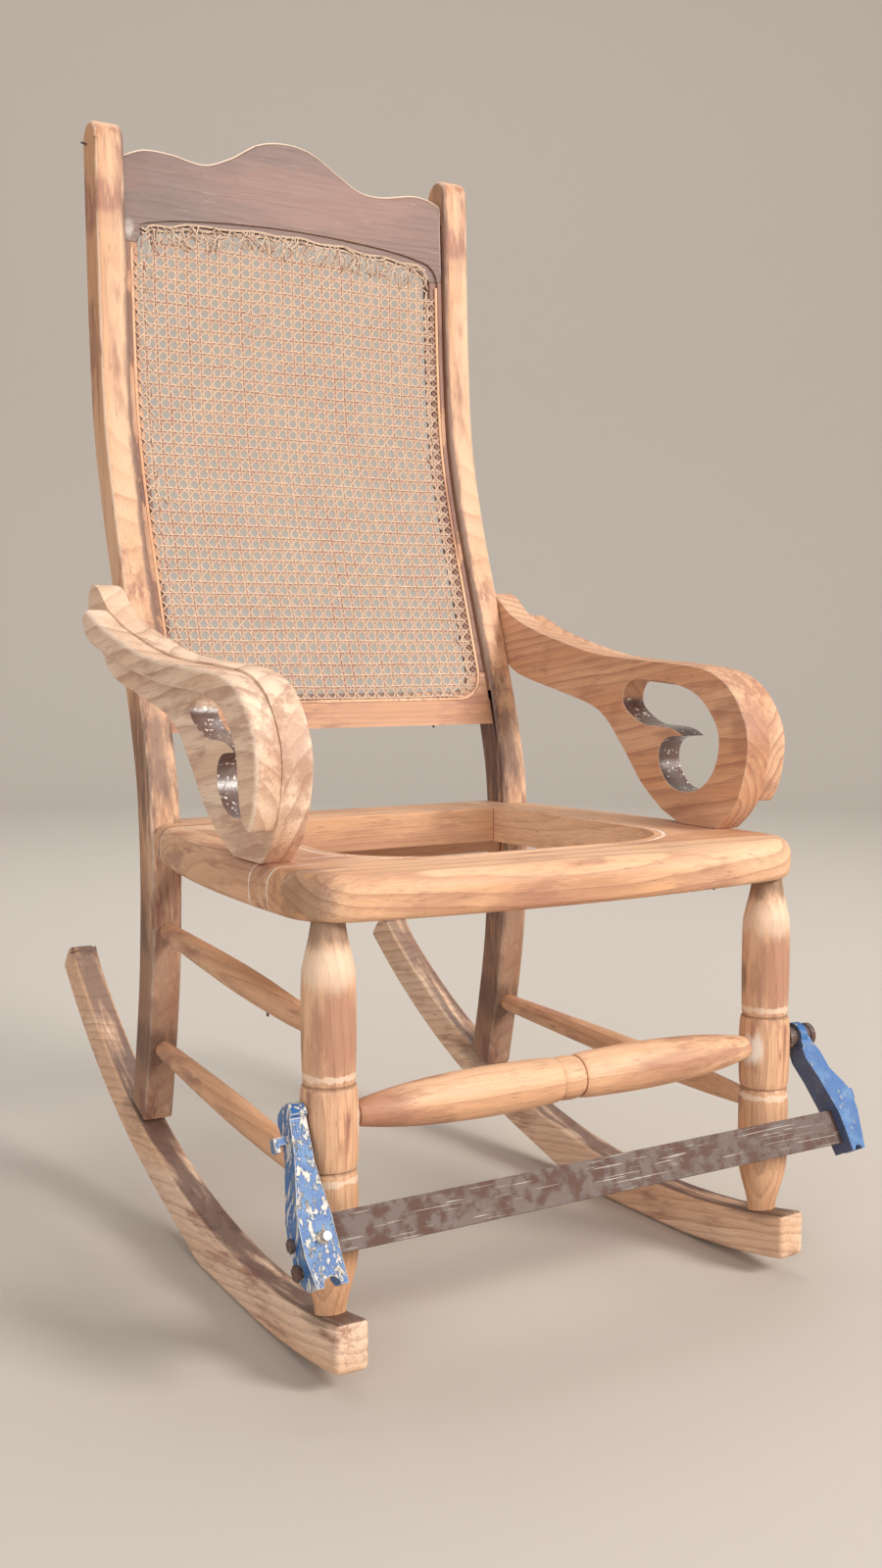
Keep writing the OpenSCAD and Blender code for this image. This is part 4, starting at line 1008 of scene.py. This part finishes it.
class ROCKER_OT_cane(bpy.types.Operator):
    """Weaves the back's torn cane"""

    bl_idname = "rocker.cane"
    bl_label = "Woven cane"

    def execute(self, context):
        pitch = sizes().cane_pitch
        width = sizes().strand_width
        lift = sizes().strand_lift
        chance = random.Random(5)
        noise.seed_set(WEAVE_SEED)
        weave = Ribbons()
        half = pitch * round(CANE_HIGH.x / pitch + 1)
        low = CANE_LOW.z - pitch
        step = pitch / 3
        across = round(2 * half / pitch)
        tall = round((CANE_HIGH.z - low) / pitch) + 1

        def ripple(value, phase):
            return lift * math.cos(math.pi * value / pitch + phase)

        for i in range(across + 1):
            x = -half + i * pitch
            for j, side in enumerate((-PAIR_HALF, PAIR_HALF)):
                phase = math.pi * (i + j)
                for run in strand_runs((x + side * pitch, low), (0, step), tall * 3,
                                       lambda x, z: ripple(z - low, phase)):
                    weave.add(run, width, chance.uniform(0.6, 1.0), turned=j == 0)
        for i in range(tall + 1):
            z = low + i * pitch
            for j, side in enumerate((-PAIR_HALF, PAIR_HALF)):
                phase = math.pi * (i + j + 1)
                for run in strand_runs((-half, z + side * pitch), (step, 0), across * 3,
                                       lambda x, z: ripple(x + half, phase)):
                    weave.add(run, width, chance.uniform(0.6, 1.0), turned=j == 1)
        for slope in (1, -1):
            for i in range(-tall, across + tall):
                x = slope * (-half + (i + 0.5) * pitch)
                for run in strand_runs((x, low), (slope * step, step), tall * 3,
                                       lambda x, z: lift * (0.4 + 0.6 * slope)):
                    weave.add(run, width * 0.85, chance.uniform(0.3, 0.7))
        self.loosen(weave, chance)
        settle(weave.build("woven_cane"), cane("cane_strands"), "cane_panel")
        settle(self.torn_band(chance), cane("cane_scraps"), "cane_torn_strip")
        settle(worn_copy("cane_reed", 0.0006, 2),
               wood("reed_cane", contrast=0.2, red=0.7, warm=0.9), "cane_reed")
        return {"FINISHED"}

    def curl(self, ribbons, chance, x, z, angle, length, front):
        """A loose strand from (x, z) that starts out at angle, curls, and rises up to front"""
        bend = chance.uniform(-1.6, 1.6)
        rise = chance.uniform(0.3, 1.0) * front
        path = []
        for i in range(7):
            t = i / 6
            y = panel_y(min(z, CANE_HIGH.z)) + 0.0004 - rise * math.sin(math.pi * t)
            path.append(Vector((x, y, z)))
            turn = angle + bend * t
            x += math.cos(turn) * length / 6
            z += math.sin(turn) * length / 6
        if abs(x) < CANE_HIGH.x - 0.004:
            # The tint varies each loose strand's reddish tone; tints above 1 darken some strands as
            # painted shade for the gaps in the tangle
            ribbons.add(path, sizes().strand_width * 0.8, chance.uniform(0.0, 1.4),
                        turned=chance.random() < 0.5)

    def loosen(self, weave, chance):
        """Ends that stand out of the torn upper edge and fray along the sides"""
        x = CANE_LOW.x + 0.008
        while x < CANE_HIGH.x - 0.008:
            top = self.top_of_sheet(x)
            if top is not None:
                self.curl(weave, chance, x, top - 0.004, chance.uniform(0.9, 2.2),
                          chance.uniform(0.5, 1.3) * sizes().fray, 0.003)
            x += chance.uniform(0.003, 0.007)
        z = CANE_LOW.z + 0.008
        while z < CANE_HIGH.z - 0.03:
            for side in (-1, 1):
                reach = CANE_HIGH.x - chance.uniform(0.008, 0.016)
                self.curl(weave, chance, side * reach, z, chance.uniform(0.6, 2.5) * side,
                          chance.uniform(0.5, 1.0) * sizes().fray, 0.0015)
            z += chance.uniform(0.004, 0.010)

    def top_of_sheet(self, x):
        """Height of the CAD sheet's torn edge"""
        z = CANE_HIGH.z + 0.001
        while z > CANE_HIGH.z - 0.08:
            if on_panel(x, z):
                return z
            z -= 0.001
        return None

    def torn_band(self, chance):
        """What stayed under the crest: strands along the groove and a tangle hanging from them"""
        low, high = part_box("cane_torn_strip")
        y = (low.y + high.y) / 2
        strip = NODES["cane_torn_strip"]
        scraps = Ribbons()

        def under(x):
            hit = strip.ray_cast(Vector((x, y, low.z - 0.02)), Vector((0, 0, 1)))
            return hit[1].z if hit[0] else None

        for rise in (0.0005, 0.0050):
            path = []
            x = low.x + 0.004
            while x < high.x - 0.004:
                edge = under(x)
                if edge is not None:
                    wave = noise.noise(Vector((x * 70, rise * 900, 2.0)))
                    path.append(Vector((x, y - 0.0012 + 0.0008 * wave,
                                        edge + rise + 0.001 * wave)))
                x += 0.004
            scraps.add(path, 0.0022, chance.uniform(0.2, 0.7))
        x = low.x + 0.006
        while x < high.x - 0.006:
            edge = under(x)
            if edge is not None:
                lean = chance.choice((-2.4, -2.2, -1.9, -1.2, -0.9, -0.7))
                lean += chance.uniform(-0.2, 0.2)
                self.curl(scraps, chance, x, edge + chance.uniform(-0.004, 0.007), lean,
                          chance.uniform(0.9, 2.1) * sizes().fray, 0.005)
            x += chance.uniform(0.0010, 0.0034)
        return scraps.build("cane_torn_band")


# ---------------------------------------------------------------- the clamp
class ROCKER_OT_clamp(bpy.types.Operator):
    """Finishes the bar clamp"""

    bl_idname = "rocker.clamp"
    bl_label = "Bar clamp"

    def execute(self, context):
        settle(worn_copy("clamp_bar", 0.0008, 2), bar_iron("bar_iron", 0.12), "clamp_bar")
        for side, inner in (("left", 1), ("right", -1)):
            node = "clamp_" + side + "_jaw"
            settle(worn_copy(node, 0.0012, 2, mark=True), blue_enamel(side + "_enamel", inner),
                   node)
        settle(worn_copy("clamp_rivet", 0.0003, 2), brass("rivet_brass"), "clamp_rivet")
        rusty = bar_iron("rusty_iron", 0.1)
        for node, width, segments, body in (
                ("clamp_cross_pin", 0.0005, 2, "chair"), ("nail_stubs", 0.0003, 2, "chair"),
                ("clamp_pad", 0.0008, 3, "pad"), ("clamp_spindle", 0.0005, 2, "spindle")):
            settle(worn_copy(node, width, segments), rusty, node, body)
        return {"FINISHED"}


# ---------------------------------------------------------------- the stage
FLOOR_REACH = 4.2       # the level part of the floor, then the bend up into the wall
BEND = 1.8
BEND_STEPS = 12
WALL_TOP = 4.5
TURNS = 96
# name, place, aim, size, power and colour
LAMPS = (
    ("key", (1.8, -3.5, 2.4), (0, 0, 0.5), 1.4, 168, (1.0, 0.96, 0.90)),
    ("fill", (-2.8, -2.6, 1.6), (0, 0, 0.5), 2.4, 50, (0.97, 0.98, 1.0)),
    ("top", (0.2, 0.8, 3.6), (0, 0, 0.6), 2.5, 36, (1.0, 0.98, 0.95)),
    ("wall", (0.6, 1.4, 3.4), (3.2, 5.0, 0.9), 2.6, 62, (1.0, 0.98, 0.96)))
# The camera's place from the middle between the front legs, and its turns in degrees
CAMERA = (-0.749, -1.053, 0.564)
CAMERA_DOWN = 4.95
CAMERA_RIGHT = 30.8


def lamp(name, place, aim, size, power, colour):
    """A round area lamp that looks at aim; power is in watts"""
    bpy.ops.object.light_add(type="AREA", location=place)
    light = bpy.context.object
    light.name = name
    light.data.shape = "DISK"
    light.data.size = size
    light.data.energy = power
    light.data.color = colour
    light.rotation_euler = (Vector(aim) - Vector(place)).to_track_quat("-Z", "Y").to_euler()


class ROCKER_OT_stage(bpy.types.Operator):
    """Lays the floor that curves up into a wall all round, the lamps and the camera"""

    bl_idname = "rocker.stage"
    bl_label = "Stage"

    def execute(self, context):
        bpy.ops.object.select_all(action="DESELECT")
        profile = [(0.0, 0.0), (FLOOR_REACH, 0.0)]
        for i in range(1, BEND_STEPS + 1):
            turn = math.pi / 2 * i / BEND_STEPS
            profile.append((FLOOR_REACH + BEND * math.sin(turn), BEND - BEND * math.cos(turn)))
        profile.append((FLOOR_REACH + BEND, WALL_TOP))
        count = len(profile)
        points = []
        faces = []
        for i in range(TURNS):
            turn = 2 * math.pi * i / TURNS
            points += [Vector((r * math.cos(turn), r * math.sin(turn), z)) for r, z in profile]
            here, there = i * count, (i + 1) % TURNS * count
            faces += [(here + j, there + j, there + j + 1, here + j + 1) for j in range(count - 1)]
        floor = mesh_piece("floor", points, faces)
        clean(floor, weld=BEAD_WELD, inside=True)
        bpy.ops.object.shade_smooth()
        finish, tree, _ = material("floor_paint")
        surface(tree, paint("floor"), 0.9)
        floor.data.materials.append(finish)
        for values in LAMPS:
            lamp(*values)
        world = bpy.data.worlds.new("Studio")
        bpy.context.scene.world = world
        world.use_nodes = True
        background = world.node_tree.nodes["Background"]
        background.inputs["Color"].default_value = (1.0, 0.97, 0.93, 1)
        background.inputs["Strength"].default_value = 0.5
        bpy.ops.object.camera_add(location=Vector(CAMERA) + Vector((0, LEG_Y, 0)))
        camera = bpy.context.object
        camera.rotation_euler = (math.radians(90 - CAMERA_DOWN), 0, math.radians(-CAMERA_RIGHT))
        camera.data.lens = 36
        camera.data.sensor_width = 36
        camera.data.clip_start = 0.05
        bpy.context.scene.camera = camera
        bpy.context.scene.view_settings.view_transform = "Standard"
        return {"FINISHED"}


class ROCKER_PT_panel(bpy.types.Panel):
    """Lists the chair's operators"""

    bl_label = "Rocking Chair"
    bl_idname = "ROCKER_PT_panel"
    bl_space_type = "VIEW_3D"
    bl_region_type = "UI"
    bl_category = "Rocking Chair"

    def draw(self, context):
        for group in (context.scene.rocker_sizes, context.scene.rocker_colours):
            for key in group.bl_rna.properties.keys():
                if key not in ("rna_type", "name"):
                    self.layout.prop(group, key)
        for operator in OPERATORS:
            self.layout.operator(operator.bl_idname)


OPERATORS = (ROCKER_OT_stage, ROCKER_OT_rockers, ROCKER_OT_posts, ROCKER_OT_legs, ROCKER_OT_seat,
             ROCKER_OT_filler, ROCKER_OT_back, ROCKER_OT_arms, ROCKER_OT_cane, ROCKER_OT_clamp)
CLASSES = (RockerSizes, RockerColours) + OPERATORS + (ROCKER_PT_panel,)


def register():
    for item in CLASSES:
        bpy.utils.register_class(item)
    bpy.types.Scene.rocker_sizes = bpy.props.PointerProperty(type=RockerSizes)
    bpy.types.Scene.rocker_colours = bpy.props.PointerProperty(type=RockerColours)


def unregister():
    del bpy.types.Scene.rocker_colours
    del bpy.types.Scene.rocker_sizes
    for item in reversed(CLASSES):
        bpy.utils.unregister_class(item)


def main():
    register()
    for make_group in (make_growth_rings, make_wood_fibres, make_stain_spot, make_worn_coat,
                       make_scratches):
        make_group()
    for operator in OPERATORS:
        getattr(bpy.ops.rocker, operator.bl_idname.split(".")[1])()


if __name__ == "__main__":
    main()
